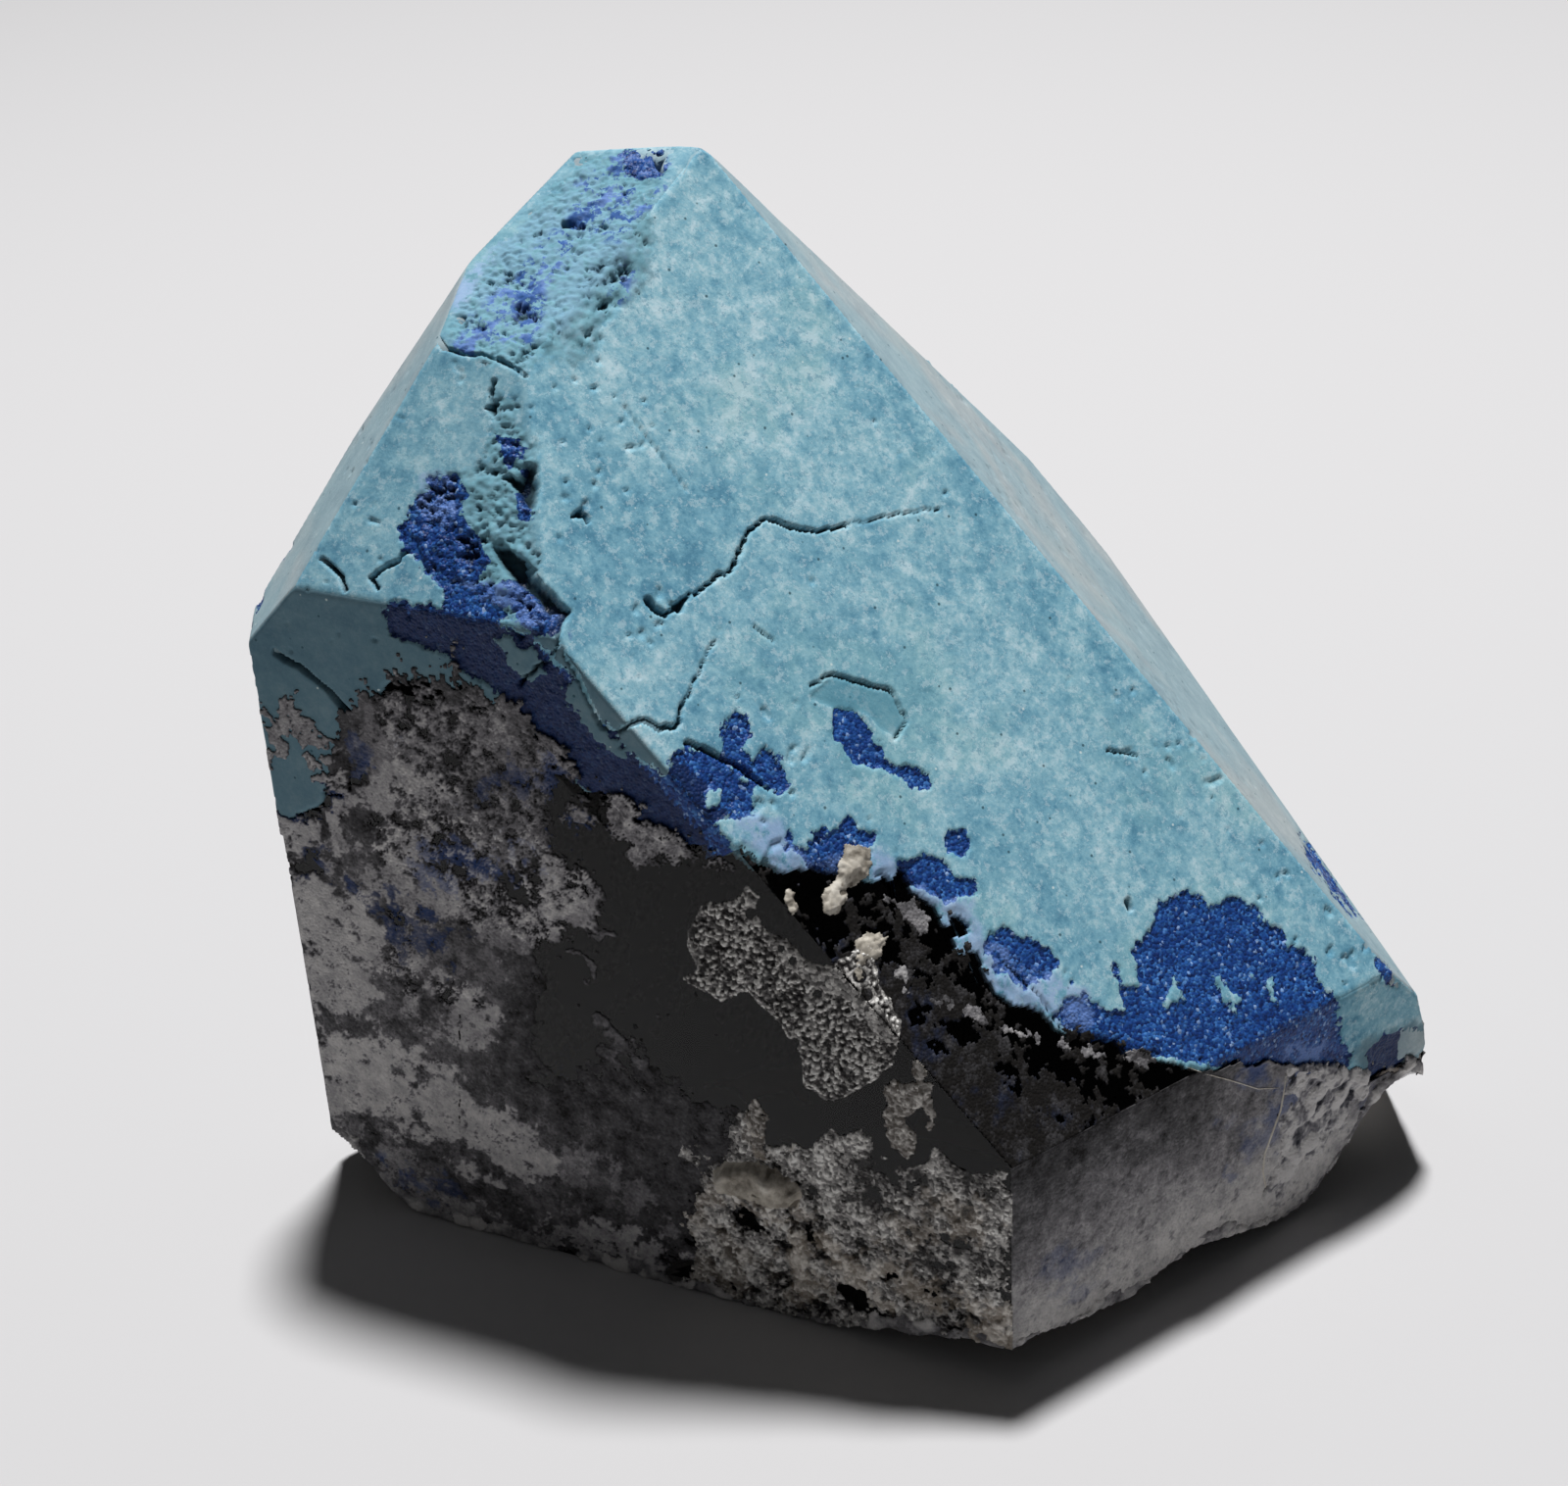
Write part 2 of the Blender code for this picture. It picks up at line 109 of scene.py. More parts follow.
# Picture outlines where the skin has flaked off the blue
BLUE_PATCHES = (
    ((508, 446), (530, 448), (538, 470), (520, 476), (510, 464)),
    ((530, 478), (545, 480), (542, 530), (530, 535), (527, 505)),
    ((512, 590), (545, 602), (575, 640), (562, 652), (530, 638)),
    ((452, 588), (500, 600), (520, 632), (482, 640), (452, 620)),
    ((738, 728), (752, 724), (768, 737), (770, 752), (762, 762), (768, 772), (780, 764), (795, 768), (800, 785),
     (805, 800), (795, 808), (770, 800), (748, 785), (735, 765)),
    ((852, 724), (870, 720), (885, 735), (895, 760), (912, 780), (935, 783), (950, 795), (948, 806), (930, 800),
     (912, 790), (890, 785), (862, 770), (850, 745)),
    ((968, 846), (985, 845), (992, 858), (985, 872), (968, 868)),
    ((920, 880), (940, 872), (965, 875), (975, 892), (1000, 900), (998, 912), (965, 918), (940, 905),
     (925, 895)),
    ((1007, 948), (1027, 948), (1057, 960), (1075, 970), (1082, 984), (1070, 997), (1047, 1007), (1017, 990),
     (1005, 973)),
    ((682, 772), (700, 760), (722, 768), (745, 782), (762, 800), (768, 822), (768, 834), (745, 832), (725, 845),
     (705, 830), (680, 810)),
    ((798, 855), (805, 845), (812, 858), (824, 868), (830, 850), (836, 845), (848, 852), (858, 848), (866, 830),
     (872, 845), (895, 850), (896, 862), (868, 868), (862, 885), (850, 895), (830, 885), (815, 870), (802, 868)),
    ((1180, 923), (1193, 915), (1213, 910), (1233, 922), (1260, 915), (1285, 922), (1287, 940), (1308, 948),
     (1317, 963), (1338, 977), (1347, 1000), (1368, 1027), (1368, 1060), (1382, 1077), (1373, 1092),
     (1340, 1104), (1307, 1096), (1270, 1090), (1240, 1087), (1187, 1080), (1133, 1073), (1107, 1062),
     (1077, 1035), (1090, 1020), (1110, 1015), (1130, 1030), (1143, 1030), (1143, 1007), (1160, 1002),
     (1158, 973), (1162, 953), (1178, 943)),
    ((1137, 983), (1142, 985), (1146, 1003), (1140, 1000)),
    ((1083, 985), (1090, 987), (1094, 1003), (1087, 1000)),
    ((388, 622), (400, 612), (440, 618), (485, 622), (520, 640), (548, 655), (575, 680), (612, 730), (640, 765),
     (690, 800), (740, 850), (755, 880), (700, 870), (650, 850), (600, 810), (560, 780), (530, 740), (505, 705),
     (455, 670), (400, 650)),
    ((438, 487), (465, 484), (475, 500), (470, 525), (488, 548), (500, 575), (482, 600), (468, 618), (445, 592),
     (425, 572), (410, 562), (412, 535), (424, 512)),
    ((632, 160), (650, 152), (677, 153), (678, 180), (655, 184), (640, 176)),
    ((1392, 1076), (1410, 1058), (1440, 1050), (1475, 1060), (1475, 1112), (1400, 1112)),
    ((1326, 852), (1340, 866), (1376, 912), (1392, 938), (1380, 934), (1358, 908), (1334, 876)),
    ((1400, 972), (1412, 984), (1428, 1008), (1418, 1006)),
)
SKIN_ISLANDS = (
    ((1196, 998), (1200, 998), (1212, 1020), (1188, 1023)),
    ((1237, 993), (1257, 1007), (1270, 1020), (1263, 1033), (1247, 1017)),
    ((1278, 994), (1300, 997), (1302, 1024), (1292, 1008)), ((505, 650), (545, 662), (560, 690), (530, 695)),
    ((568, 700), (590, 690), (622, 742), (640, 775), (618, 770)),
    ((718, 806), (735, 806), (738, 822), (722, 826)),
)
LAVENDER = (
    ((745, 850), (800, 848), (830, 872), (900, 860), (935, 900), (990, 920), (1010, 955), (1060, 985),
     (1110, 1010), (1130, 1060), (1040, 1035), (985, 990), (940, 930), (920, 905), (850, 895), (820, 910),
     (790, 885)),
    ((1313, 1064), (1355, 1062), (1350, 1100), (1308, 1100)),
    ((745, 836), (770, 828), (800, 835), (835, 890), (800, 890), (770, 870)),
    ((975, 940), (1005, 950), (1090, 1012), (1092, 1030), (1040, 1020), (1000, 985)),
    ((430, 485), (460, 483), (470, 520), (455, 545), (425, 520)),
    ((450, 300), (520, 240), (600, 170), (660, 200), (640, 280), (560, 350), (480, 350)),
    ((895, 870), (930, 890), (960, 930), (930, 930)),
)
# Paler and deeper parts of the skin as ovals: middle, half width and height, tilt in degrees, strength
PALE_ZONES = (
    (760, 375, 160, 90, 35, 1.0), (930, 590, 160, 55, 40, 0.9), (660, 690, 60, 50, 0, 0.6),
    (1090, 830, 120, 70, 40, 0.5), (640, 420, 60, 60, 0, 0.4), (720, 285, 100, 60, 30, 0.8),
)
DEEP_ZONES = (
    (795, 490, 80, 40, 0, 0.9), (615, 580, 50, 90, 0, 0.8), (850, 510, 90, 40, 20, 0.9),
    (860, 715, 90, 60, 30, 0.8), (690, 540, 40, 50, 0, 0.4), (1180, 820, 70, 50, 40, 0.5),
    (1010, 700, 60, 40, 40, 0.4), (600, 300, 60, 60, 0, 0.5),
)
# Where the crumbled parts are bluest
BLUE_BAND = (
    ((625, 158), (700, 158), (700, 190), (655, 225), (630, 250), (600, 240), (560, 300), (545, 360), (505, 350),
     (470, 375), (458, 350), (490, 310), (530, 270), (575, 225), (585, 190)),
    ((640, 262), (655, 270), (640, 310), (620, 320), (615, 300)),
    ((500, 590), (560, 600), (590, 650), (560, 670), (450, 640), (450, 590)),
)
# Painted shade: the right tip, darkened as if it lay in shade
SHADED_TIP = (((1378, 1078), (1398, 1058), (1420, 1050), (1440, 1044), (1475, 1050), (1470, 1120), (1400, 1120)),)
# Where the coating is crumbled to a blue and turquoise rubble
RUBBLE = (
    ((500, 392), (520, 400), (545, 450), (552, 480), (545, 540), (545, 600), (580, 640), (540, 650), (500, 610),
     (460, 600), (428, 575), (415, 540), (424, 512), (440, 490), (470, 482), (492, 470), (498, 430)),
    ((455, 330), (500, 265), (550, 205), (590, 160), (640, 150), (690, 150), (668, 205), (664, 290), (630, 320),
     (605, 360), (545, 378), (500, 372), (458, 355)),
)
# Cracks: picture points and the widest opening in millimetres
CRACKS = (
    (((660, 611), (668, 620), (680, 627), (692, 618)), 0.16),
    (((385, 600), (380, 592), (393, 580), (405, 571), (413, 563)), 0.07),
    (((328, 570), (338, 578), (347, 587), (353, 603)), 0.09), (((503, 388), (500, 400), (503, 420)), 0.08),
    (((1150, 917), (1154, 927)), 0.14),
    (((707, 605), (728, 592), (745, 582), (752, 570), (757, 556), (766, 541), (778, 532), (790, 532),
      (815, 540), (835, 540), (862, 535)),
     0.07),
    (((862, 536), (905, 526), (960, 518)), 0.02),
    (((632, 747), (640, 740), (650, 735), (660, 736), (672, 743), (690, 741), (697, 720)), 0.1),
    (((697, 720), (712, 690), (722, 665), (730, 655)), 0.03),
    (((700, 757), (720, 764), (738, 775), (752, 780), (765, 790), (785, 805)), 0.07),
    (((280, 665), (292, 674), (305, 680), (320, 692), (334, 704), (346, 718), (355, 727)), 0.11),
    (((447, 345), (456, 356), (470, 361), (485, 361), (505, 365), (520, 372), (536, 384)), 0.1),
    (((569, 648), (575, 668), (590, 690), (600, 715), (614, 742), (632, 748)), 0.09),
    (((530, 700), (534, 690), (548, 680), (560, 672), (569, 655)), 0.09),
    (((586, 526), (594, 522), (600, 531)), 0.14), (((1020, 975), (1060, 1015), (1085, 1050)), 0.02),
    (((828, 700), (850, 688), (880, 697), (910, 705), (925, 735), (912, 754)), 0.035),
    (((770, 640), (790, 655)), 0.02), (((640, 420), (700, 500)), 0.015), (((1130, 765), (1160, 770)), 0.03),
)
# Open hollows: sunk deep, and darkened with painted shade
HOLLOWS = (

    ((508, 486), (520, 484), (530, 490), (536, 472), (549, 474), (552, 500), (546, 520), (534, 518), (526, 500)),
    ((500, 556), (516, 558), (537, 572), (556, 598), (584, 624), (578, 634), (570, 652), (560, 632), (546, 612),
     (522, 592), (508, 575)),
    ((495, 416), (507, 408), (505, 430)), ((570, 224), (582, 225), (582, 232), (572, 231)),
    ((445, 345), (452, 350), (462, 358), (450, 358)), ((664, 156), (677, 158), (676, 176), (668, 170)),
    ((686, 618), (706, 600), (708, 606), (694, 626)), ((520, 640), (535, 650), (528, 655)),
    ((500, 738), (512, 742), (506, 750)),
)
PEELED = (
    (824, 712), (850, 688), (880, 696), (910, 705), (925, 735), (915, 752), (900, 745), (885, 728), (850, 722),
)


# Noise and shapes as whole arrays


def scatter(cells, seed):
    """A number from 0 to 1 for each whole-numbered cell: its three numbers and the seed, mixed by large primes."""
    mixed = cells[..., 0] * 73856093 ^ cells[..., 1] * 19349663 ^ cells[..., 2] * 83492791 ^ seed * 26544357
    mixed = (mixed ^ mixed >> 13) * 1274126177
    mixed = (mixed ^ mixed >> 15) * 668265263
    return ((mixed ^ mixed >> 17) & 0xFFFFFF) / 0xFFFFFF


def soft_noise(points, size, seed):
    """Smooth noise from -1 to 1: random numbers at the corners of cells of that size, blended by a smooth step."""
    place = points / size + seed * 7.31
    low = np.floor(place).astype(np.int64)
    part = place - low
    part = part * part * (3.0 - 2.0 * part)
    total = np.zeros(points.shape[:-1])
    for corner in product((0, 1), repeat=3):
        share = np.prod(np.where(corner, part, 1.0 - part), axis=-1)
        total += share * scatter(low + corner, seed)
    return 2.0 * total - 1.0


def layered(points, size, seed, layers=4, fade=0.5):
    """Noise at the given size plus finer layers, each of half the size and of the fade's share of the height."""
    total = sum(fade**k * soft_noise(points, size / 2**k, seed + k) for k in range(layers))
    return total / sum(fade**k for k in range(layers))


def grains(points, size, seed):
    """Crystal grains: distance to the nearest of one random point per cell, over the size, and its random number."""
    place = points / size
    low = np.floor(place).astype(np.int64)
    nearest = np.full(points.shape[:-1], 9.0)
    owner = np.zeros(points.shape[:-1])
    for step in product((-1, 0, 1), repeat=3):
        cell = low + step
        spot = cell + np.stack([scatter(cell, seed + k) for k in range(3)], axis=-1)
        away = np.linalg.norm(place - spot, axis=-1)
        closer = away < nearest
        nearest = np.where(closer, away, nearest)
        owner = np.where(closer, scatter(cell, seed + 5), owner)
    return nearest, owner


def rise_between(low, high, value):
    """A smooth step from 0 at low to 1 at high."""
    t = np.clip((value - low) / (high - low), 0.0, 1.0)
    return t * t * (3.0 - 2.0 * t)


def lower_of(a, b, rounded):
    """The lower of two heights, with the corner between them rounded."""
    h = np.clip(0.5 + 0.5 * (b - a) / rounded, 0.0, 1.0)
    return b * (1.0 - h) + a * h - rounded * h * (1.0 - h)


def axes_of(face):
    """The face's own directions: across it, up its slope, and out of it."""
    a, s = radians(FACES[face][0]), radians(FACES[face][1])
    across = np.array((-sin(a), cos(a), 0.0))
    rise = np.array((-sin(s) * cos(a), -sin(s) * sin(a), cos(s)))
    return across, rise, np.cross(across, rise)


def hull_corners():
    """Every point where three crystal faces meet on the crystal, with the names of those faces."""
    found = []
    for trio in combinations(FACES, 3):
        sides = np.array([axes_of(face)[2] for face in trio])
        if abs(np.linalg.det(sides)) < 1e-6:
            continue
        point = np.linalg.solve(sides, [FACES[face][2] for face in trio])
        if all(point @ axes_of(face)[2] < FACES[face][2] + 1e-6 for face in FACES):
            found.append((point, trio))
    return found


CORNERS = hull_corners()


def face_corners(face):
    """The face's corners in order round it, seen from outside."""
    across, rise, _ = axes_of(face)
    points = np.array([point for point, trio in CORNERS if face in trio])
    flat = np.stack((points @ across, points @ rise), axis=1)
    turn = np.arctan2(*(flat - flat.mean(0)).T[::-1])
    return points[np.argsort(turn)]


def face_grid(face, corners, cell, margin=0.0):
    """A grid on the face's plane over the given corners and a margin, and how far inside the face each point is."""
    across, rise, out = axes_of(face)
    low = np.array([(corners @ side).min() - margin for side in (across, rise)])
    high = np.array([(corners @ side).max() + margin for side in (across, rise)])
    columns, rows = np.ceil((high - low) / cell).astype(int) + 1
    u, v = np.meshgrid(low[0] + cell * np.arange(columns), low[1] + cell * np.arange(rows))
    plane = u[..., None] * across + v[..., None] * rise + FACES[face][2] * out
    outline = [(p @ across, p @ rise) for p in face_corners(face)]
    return plane, within(np.stack((u, v), axis=-1), outline)


def cell_means(values):
    """The mean of the four corners of each cell of a grid."""
    return (values[:-1, :-1] + values[1:, :-1] + values[:-1, 1:] + values[1:, 1:]) / 4


def in_picture(points):
    """Where points in millimetres show in the picture, in picture pixels."""
    away = points - AIM
    depth = DISTANCE - away @ BACK
    return np.stack((MIDDLE[0] + FOCAL * (away @ RIGHT) / depth, MIDDLE[1] - FOCAL * (away @ UP) / depth), axis=-1)


def on_face(face, pixels, lift=0.0):
    """Picture points carried along the line of sight to a crystal face."""
    pixels = np.array(pixels, float)
    sight = np.outer(pixels[:, 0] - MIDDLE[0], RIGHT) + np.outer(MIDDLE[1] - pixels[:, 1], UP) - FOCAL * BACK
    eye = AIM + DISTANCE * BACK
    out = axes_of(face)[2]
    return eye + sight * ((FACES[face][2] + lift - eye @ out) / (sight @ out))[:, None]


def away_from(flat, line):
    """Shortest distance from flat points to a line of points."""
    line = np.array(line, float)
    best = np.full(flat.shape[:-1], 1e9)
    for a, b in zip(line, line[1:]):
        along = b - a
        t = np.clip((flat - a) @ along / (along @ along), 0.0, 1.0)
        best = np.minimum(best, np.linalg.norm(flat - a - t[..., None] * along, axis=-1))
    return best


def within(flat, outline):
    """Distance to the outline, positive inside it and negative outside."""
    closed = tuple(outline) + (outline[0],)
    crossed = np.zeros(flat.shape[:-1], bool)
    x, y = flat[..., 0], flat[..., 1]
    for (x0, y0), (x1, y1) in zip(closed, closed[1:]):
        if y0 != y1:
            crossed ^= ((y0 > y) != (y1 > y)) & (x < (x1 - x0) * (y - y0) / (y1 - y0) + x0)
    return away_from(flat, closed) * np.where(crossed, 1.0, -1.0)


def in_any(pixels, outlines):
    """Depth inside the nearest of several picture outlines, in millimetres, negative outside them all."""
    return PIXEL * np.max([within(pixels, outline) for outline in outlines], axis=0)


# Meshes


def put(name, points, faces, material, smooth=True, **numbers):
    """A mesh object at the origin from points in millimetres, with one number a point under each given name."""
    mesh = bpy.data.meshes.new(name)
    mesh.from_pydata((points + SHIFT) * MM, [], faces)
    for key, values in numbers.items():
        mesh.attributes.new(key, "FLOAT", "POINT").data.foreach_set("value", np.asarray(values, np.float32))
    mesh.polygons.foreach_set("use_smooth", np.full(len(mesh.polygons), smooth))
    mesh.materials.append(material)
    piece = bpy.data.objects.new(name, mesh)
    bpy.context.scene.collection.objects.link(piece)
    return piece


def belongs(piece, node):
    """Puts a piece on the root body and hides the CAD node that it stands for."""
    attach(piece, "root")
    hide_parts(node)
    return piece


def no_corner_contacts(keep):
    """Fills cells until no two kept cells touch only at a corner, so that the sheet's rim has no pinches."""
    keep = keep.copy()
    for _ in range(6):
        a, b, c, d = keep[:-1, :-1], keep[1:, 1:], keep[1:, :-1], keep[:-1, 1:]
        first, second = a & b & ~c & ~d, c & d & ~a & ~b
        if not (first.any() or second.any()):
            break
        c[first] = True
        a[second] = True
    return keep


def sheet(name, top, keep, inward, depth, material, solid_back, **numbers):
    """A closed sheet: the kept cells of a grid of points, walls down from their rim, and a back at the given depth.

    The back is the same grid moved inward, or one flat face over each loop of the rim.
    """
    keep = no_corner_contacts(keep)
    index = np.arange(top.shape[0] * top.shape[1]).reshape(top.shape[:2])
    cells = np.stack((index[:-1, :-1], index[:-1, 1:], index[1:, 1:], index[1:, :-1]), axis=-1)[keep]
    used, cells = np.unique(cells, return_inverse=True)
    cells = cells.reshape(-1, 4)
    points = top.reshape(-1, 3)[used]
    values = {key: np.ravel(value)[used] for key, value in numbers.items()}
    edges = np.concatenate([cells[:, [k, (k + 1) % 4]] for k in range(4)])
    count = len(points)
    rim = edges[~np.isin(edges[:, 0] * count + edges[:, 1], edges[:, 1] * count + edges[:, 0])]
    below = points + inward * depth
    if solid_back:
        walls = np.stack((rim[:, 1], rim[:, 0], rim[:, 0] + count, rim[:, 1] + count), axis=1)
        faces = np.concatenate((cells, cells[:, ::-1] + count, walls))
        points = np.concatenate((points, below))
        values = {key: np.concatenate((value, value)) for key, value in values.items()}
        return put(name, points, faces, material, **values)
    ring, where = np.unique(rim, return_inverse=True)
    where = where.reshape(-1, 2) + count
    walls = np.stack((rim[:, 1], rim[:, 0], where[:, 0], where[:, 1]), axis=1)
    points = np.concatenate((points, below[ring]))
    values = {key: np.concatenate((value, value[ring])) for key, value in values.items()}
    piece = put(name, points, np.concatenate((cells, walls)), material, **values)
    bm = bmesh.new()
    bm.from_mesh(piece.data)
    bmesh.ops.holes_fill(bm, edges=[e for e in bm.edges if e.is_boundary], sides=0)
    bmesh.ops.recalc_face_normals(bm, faces=bm.faces)
    bm.to_mesh(piece.data)
    bm.free()
    return piece


def tidy(piece):
    """Merges doubled points and turns the faces outward."""
    bm = bmesh.new()
    bm.from_mesh(piece.data)
    bmesh.ops.remove_doubles(bm, verts=bm.verts, dist=0.002 * MM)
    bmesh.ops.recalc_face_normals(bm, faces=bm.faces)
    bm.to_mesh(piece.data)
    bm.free()


# The crust


def read_edge(line, x):
    """The height of a line of (x, height) points at each x, straight between them."""
    return np.interp(x, [p[0] for p in line], [p[1] for p in line])


def above_edge(points):
    """How far a point is above the crust's ragged lower edge: the front line passes into the back one with y."""
    x, y, z = points[..., 0], points[..., 1], points[..., 2]
    t = rise_between(FRONT_EDGE_ENDS_Y, BACK_EDGE_STARTS_Y, y)
    edge = read_edge(FRONT_EDGE, x) * (1.0 - t) + read_edge(BACK_EDGE, x) * t
    ragged = 0.55 * layered(points, 1.3, 41, 4, 0.6)
    return z - edge + ragged


def bent_hull(points, face, proud):
    """The crystal's height over a face: the lowest of all the faces' planes, with rounded edges between them."""
    out = axes_of(face)[2]
    height = np.full(points.shape[:-1], proud)
    for other, (_, _, distance) in FACES.items():
        side = axes_of(other)[2]
        lean = side @ out
        if other != face and lean > 0.05:
            height = lower_of(height, (distance + proud - points @ side) / lean, ROUNDED)
    return height


def crust_marks(points):
    """What marks the crust at each point: bared blue, crumbled, lavender, peeled and cracked, and the painted shade
    that darkens the right tip.
    """
    pixels = in_picture(points)
    wander = 0.15 * layered(points, 0.6, 3, 4, 0.75)
    crumbly = wander + 0.38 * layered(points, 0.5, 5, 4, 0.8)
    blue = in_any(pixels, BLUE_PATCHES) + crumbly
    blue = np.minimum(blue, 0.02 - in_any(pixels, SKIN_ISLANDS) + crumbly)
    rubble = in_any(pixels, RUBBLE) + 4.0 * wander
    lavender = in_any(pixels, LAVENDER) + 3.0 * wander
    peeled = PIXEL * within(pixels, PEELED) + 0.3 * wander
    band = in_any(pixels, BLUE_BAND) + 2.5 * wander
    dark = rise_between(-0.3, 0.3, in_any(pixels, SHADED_TIP) + 3.0 * wander)
    crack = np.zeros(points.shape[:-1])
    thick = 1.0 + 0.7 * soft_noise(points, 0.8, 9)
    for line, wide in CRACKS:
        gap = wide * thick / 2
        away = PIXEL * away_from(pixels + 32.0 * wander[..., None], line)
        crack = np.maximum(crack, (1.0 - rise_between(gap * 0.3, gap + 0.05, away)) * min(1.0, wide / 0.06))
    crack = np.maximum(crack, rise_between(-0.02, 0.08, in_any(pixels, HOLLOWS) + 0.8 * wander))
    return blue, rubble, lavender, band, peeled, crack, dark


def unseen_marks(points):
    """The same for the sides that the photograph doesn't show: a few bared and crumbled patches drawn by noise."""
    blue = 2.0 * layered(points, 4.5, 77, 5, 0.6) - 0.62
    rubble = 2.4 * layered(points, 6.0, 78, 4, 0.6) - 0.75
    none = np.zeros(blue.shape)
    return blue, rubble, blue - 0.3, rubble - 0.4, none - 1.0, none, none


def crust_sheet(face, cell, seen, pale, dull):
    """One face of the crust as a height field: the rounded crystal, sunk where flaked, cracked, pitted or crumbled.

    seen says that the marks are those of the photograph. pale says how much of the face's skin is bleached grey, and
    the last number how much it is darkened, by dust and by painted shade where the face lies in shade.
    """
    out = axes_of(face)[2]
    plane, over = face_grid(face, face_corners(face), cell, CRUST_OVERLAP)
    skin = plane + bent_hull(plane, face, PROUD)[..., None] * out
    blue, rubble, lavender, band, peeled, crack, dark = crust_marks(skin) if seen else unseen_marks(skin)
    bared = rise_between(-0.02, 0.05, blue)
    crumbled = rise_between(-0.15, 0.35, rubble)
    depth, owner = grains(skin, 0.24, 21)
    sugar = (0.55 - depth) * (0.4 + owner)
    pits = rise_between(0.60, 0.80, soft_noise(skin, 0.38, 31) * (0.8 + 0.5 * soft_noise(skin, 4.0, 32)))
    lumps = layered(skin, 0.8, 51, 5, 0.78)
    ledges = np.abs(layered(skin * (1.0, 1.0, 0.6), 1.6, 57, 5, 0.7))
    cavities = 0.9 * np.clip(0.10 - ledges, 0.0, 1.0) + 0.18 * rise_between(0.26, 0.42, -lumps)
    relief = 0.030 * layered(skin, 3.0, 61, 5, 0.55) + 0.004 * layered(skin, 0.32, 62, 2)
    relief -= PIT_DEPTH * pits + PEEL_DEPTH * rise_between(-0.02, 0.04, peeled)
    relief -= SKIN * bared * (1.0 - crumbled)
    relief += 0.08 * sugar * np.maximum(bared, 0.5 * crumbled)
    relief += crumbled * (0.24 * lumps - cavities)
    relief -= CRACK_DEPTH * crack
    relief -= 0.5 * np.clip(-over - 0.05, 0.0, 1.0)
    cover = above_edge(skin)
    relief -= THINNED * (1.0 - rise_between(0.0, 0.25, cover))
    keep = (cell_means(over) > 0.02 - CRUST_OVERLAP) & (cell_means(cover) > 0.0)
    if not keep.any():
        return None
    pixels, drift = in_picture(skin), layered(skin, 3.0, 68, 4, 0.6)
    tone = ovals(pixels, PALE_ZONES, drift, 0.7) - ovals(pixels, DEEP_ZONES, drift, 0.7) if seen else 0.0 * over
    piece = sheet(
        "crust_" + face.replace(" ", "_"), skin + relief[..., None] * out, keep, -out, CRUST_BACK, CRUST, False,
        blue=blue, rubble=rubble, lavender=lavender, band=band, peeled=peeled, tone=tone,
        # Painted shade: cracks and the cavities of the crumbled parts are darkened toward near black, as shade falls
        # in them
        hollow=np.maximum(crack, 0.8 * crumbled * rise_between(0.24, 0.40, -lumps)),
        pale=np.full(over.shape, pale), dull=np.maximum(dark, dull),
    )
    return belongs(piece, "shattuckite_crust")


# Materials


# The size of the shattuckite grains
GRAIN = 0.12


def linear(code):
    """An sRGB hex colour as linear red, green, blue and 1."""
    parts = [int(code[k : k + 2], 16) / 255 for k in (1, 3, 5)]
    return [c / 12.92 if c <= 0.04045 else ((c + 0.055) / 1.055) ** 2.4 for c in parts] + [1.0]


def add(tree, kind, inputs, out=0, stops=(), **settings):
    """Adds one shader node with its settings, colour stops and inputs, and gives the output asked for."""
    made = tree.nodes.new("ShaderNode" + kind)
    for key, value in settings.items():
        setattr(made, key, value)
    for key, value in inputs.items():
        if isinstance(value, bpy.types.NodeSocket):
            tree.links.new(value, made.inputs[key])
        else:
            made.inputs[key].default_value = linear(value) if isinstance(value, str) else value
    for k, (position, code) in enumerate(stops):
        stop = made.color_ramp.elements[k] if k < 2 else made.color_ramp.elements.new(position)
        stop.position = position
        stop.color = linear(code)
    return made.outputs[out]


def new_material(name):
    """A material with its tree, its place in millimetres and its shader."""
    made = bpy.data.materials.new(name)
    made.use_nodes = True
    tree = made.node_tree
    where = add(tree, "TexCoord", {}, out="Object")
    place = add(tree, "Mapping", {"Vector": where, "Scale": (1000.0, 1000.0, 1000.0)})
    return made, tree, place, tree.nodes["Principled BSDF"]


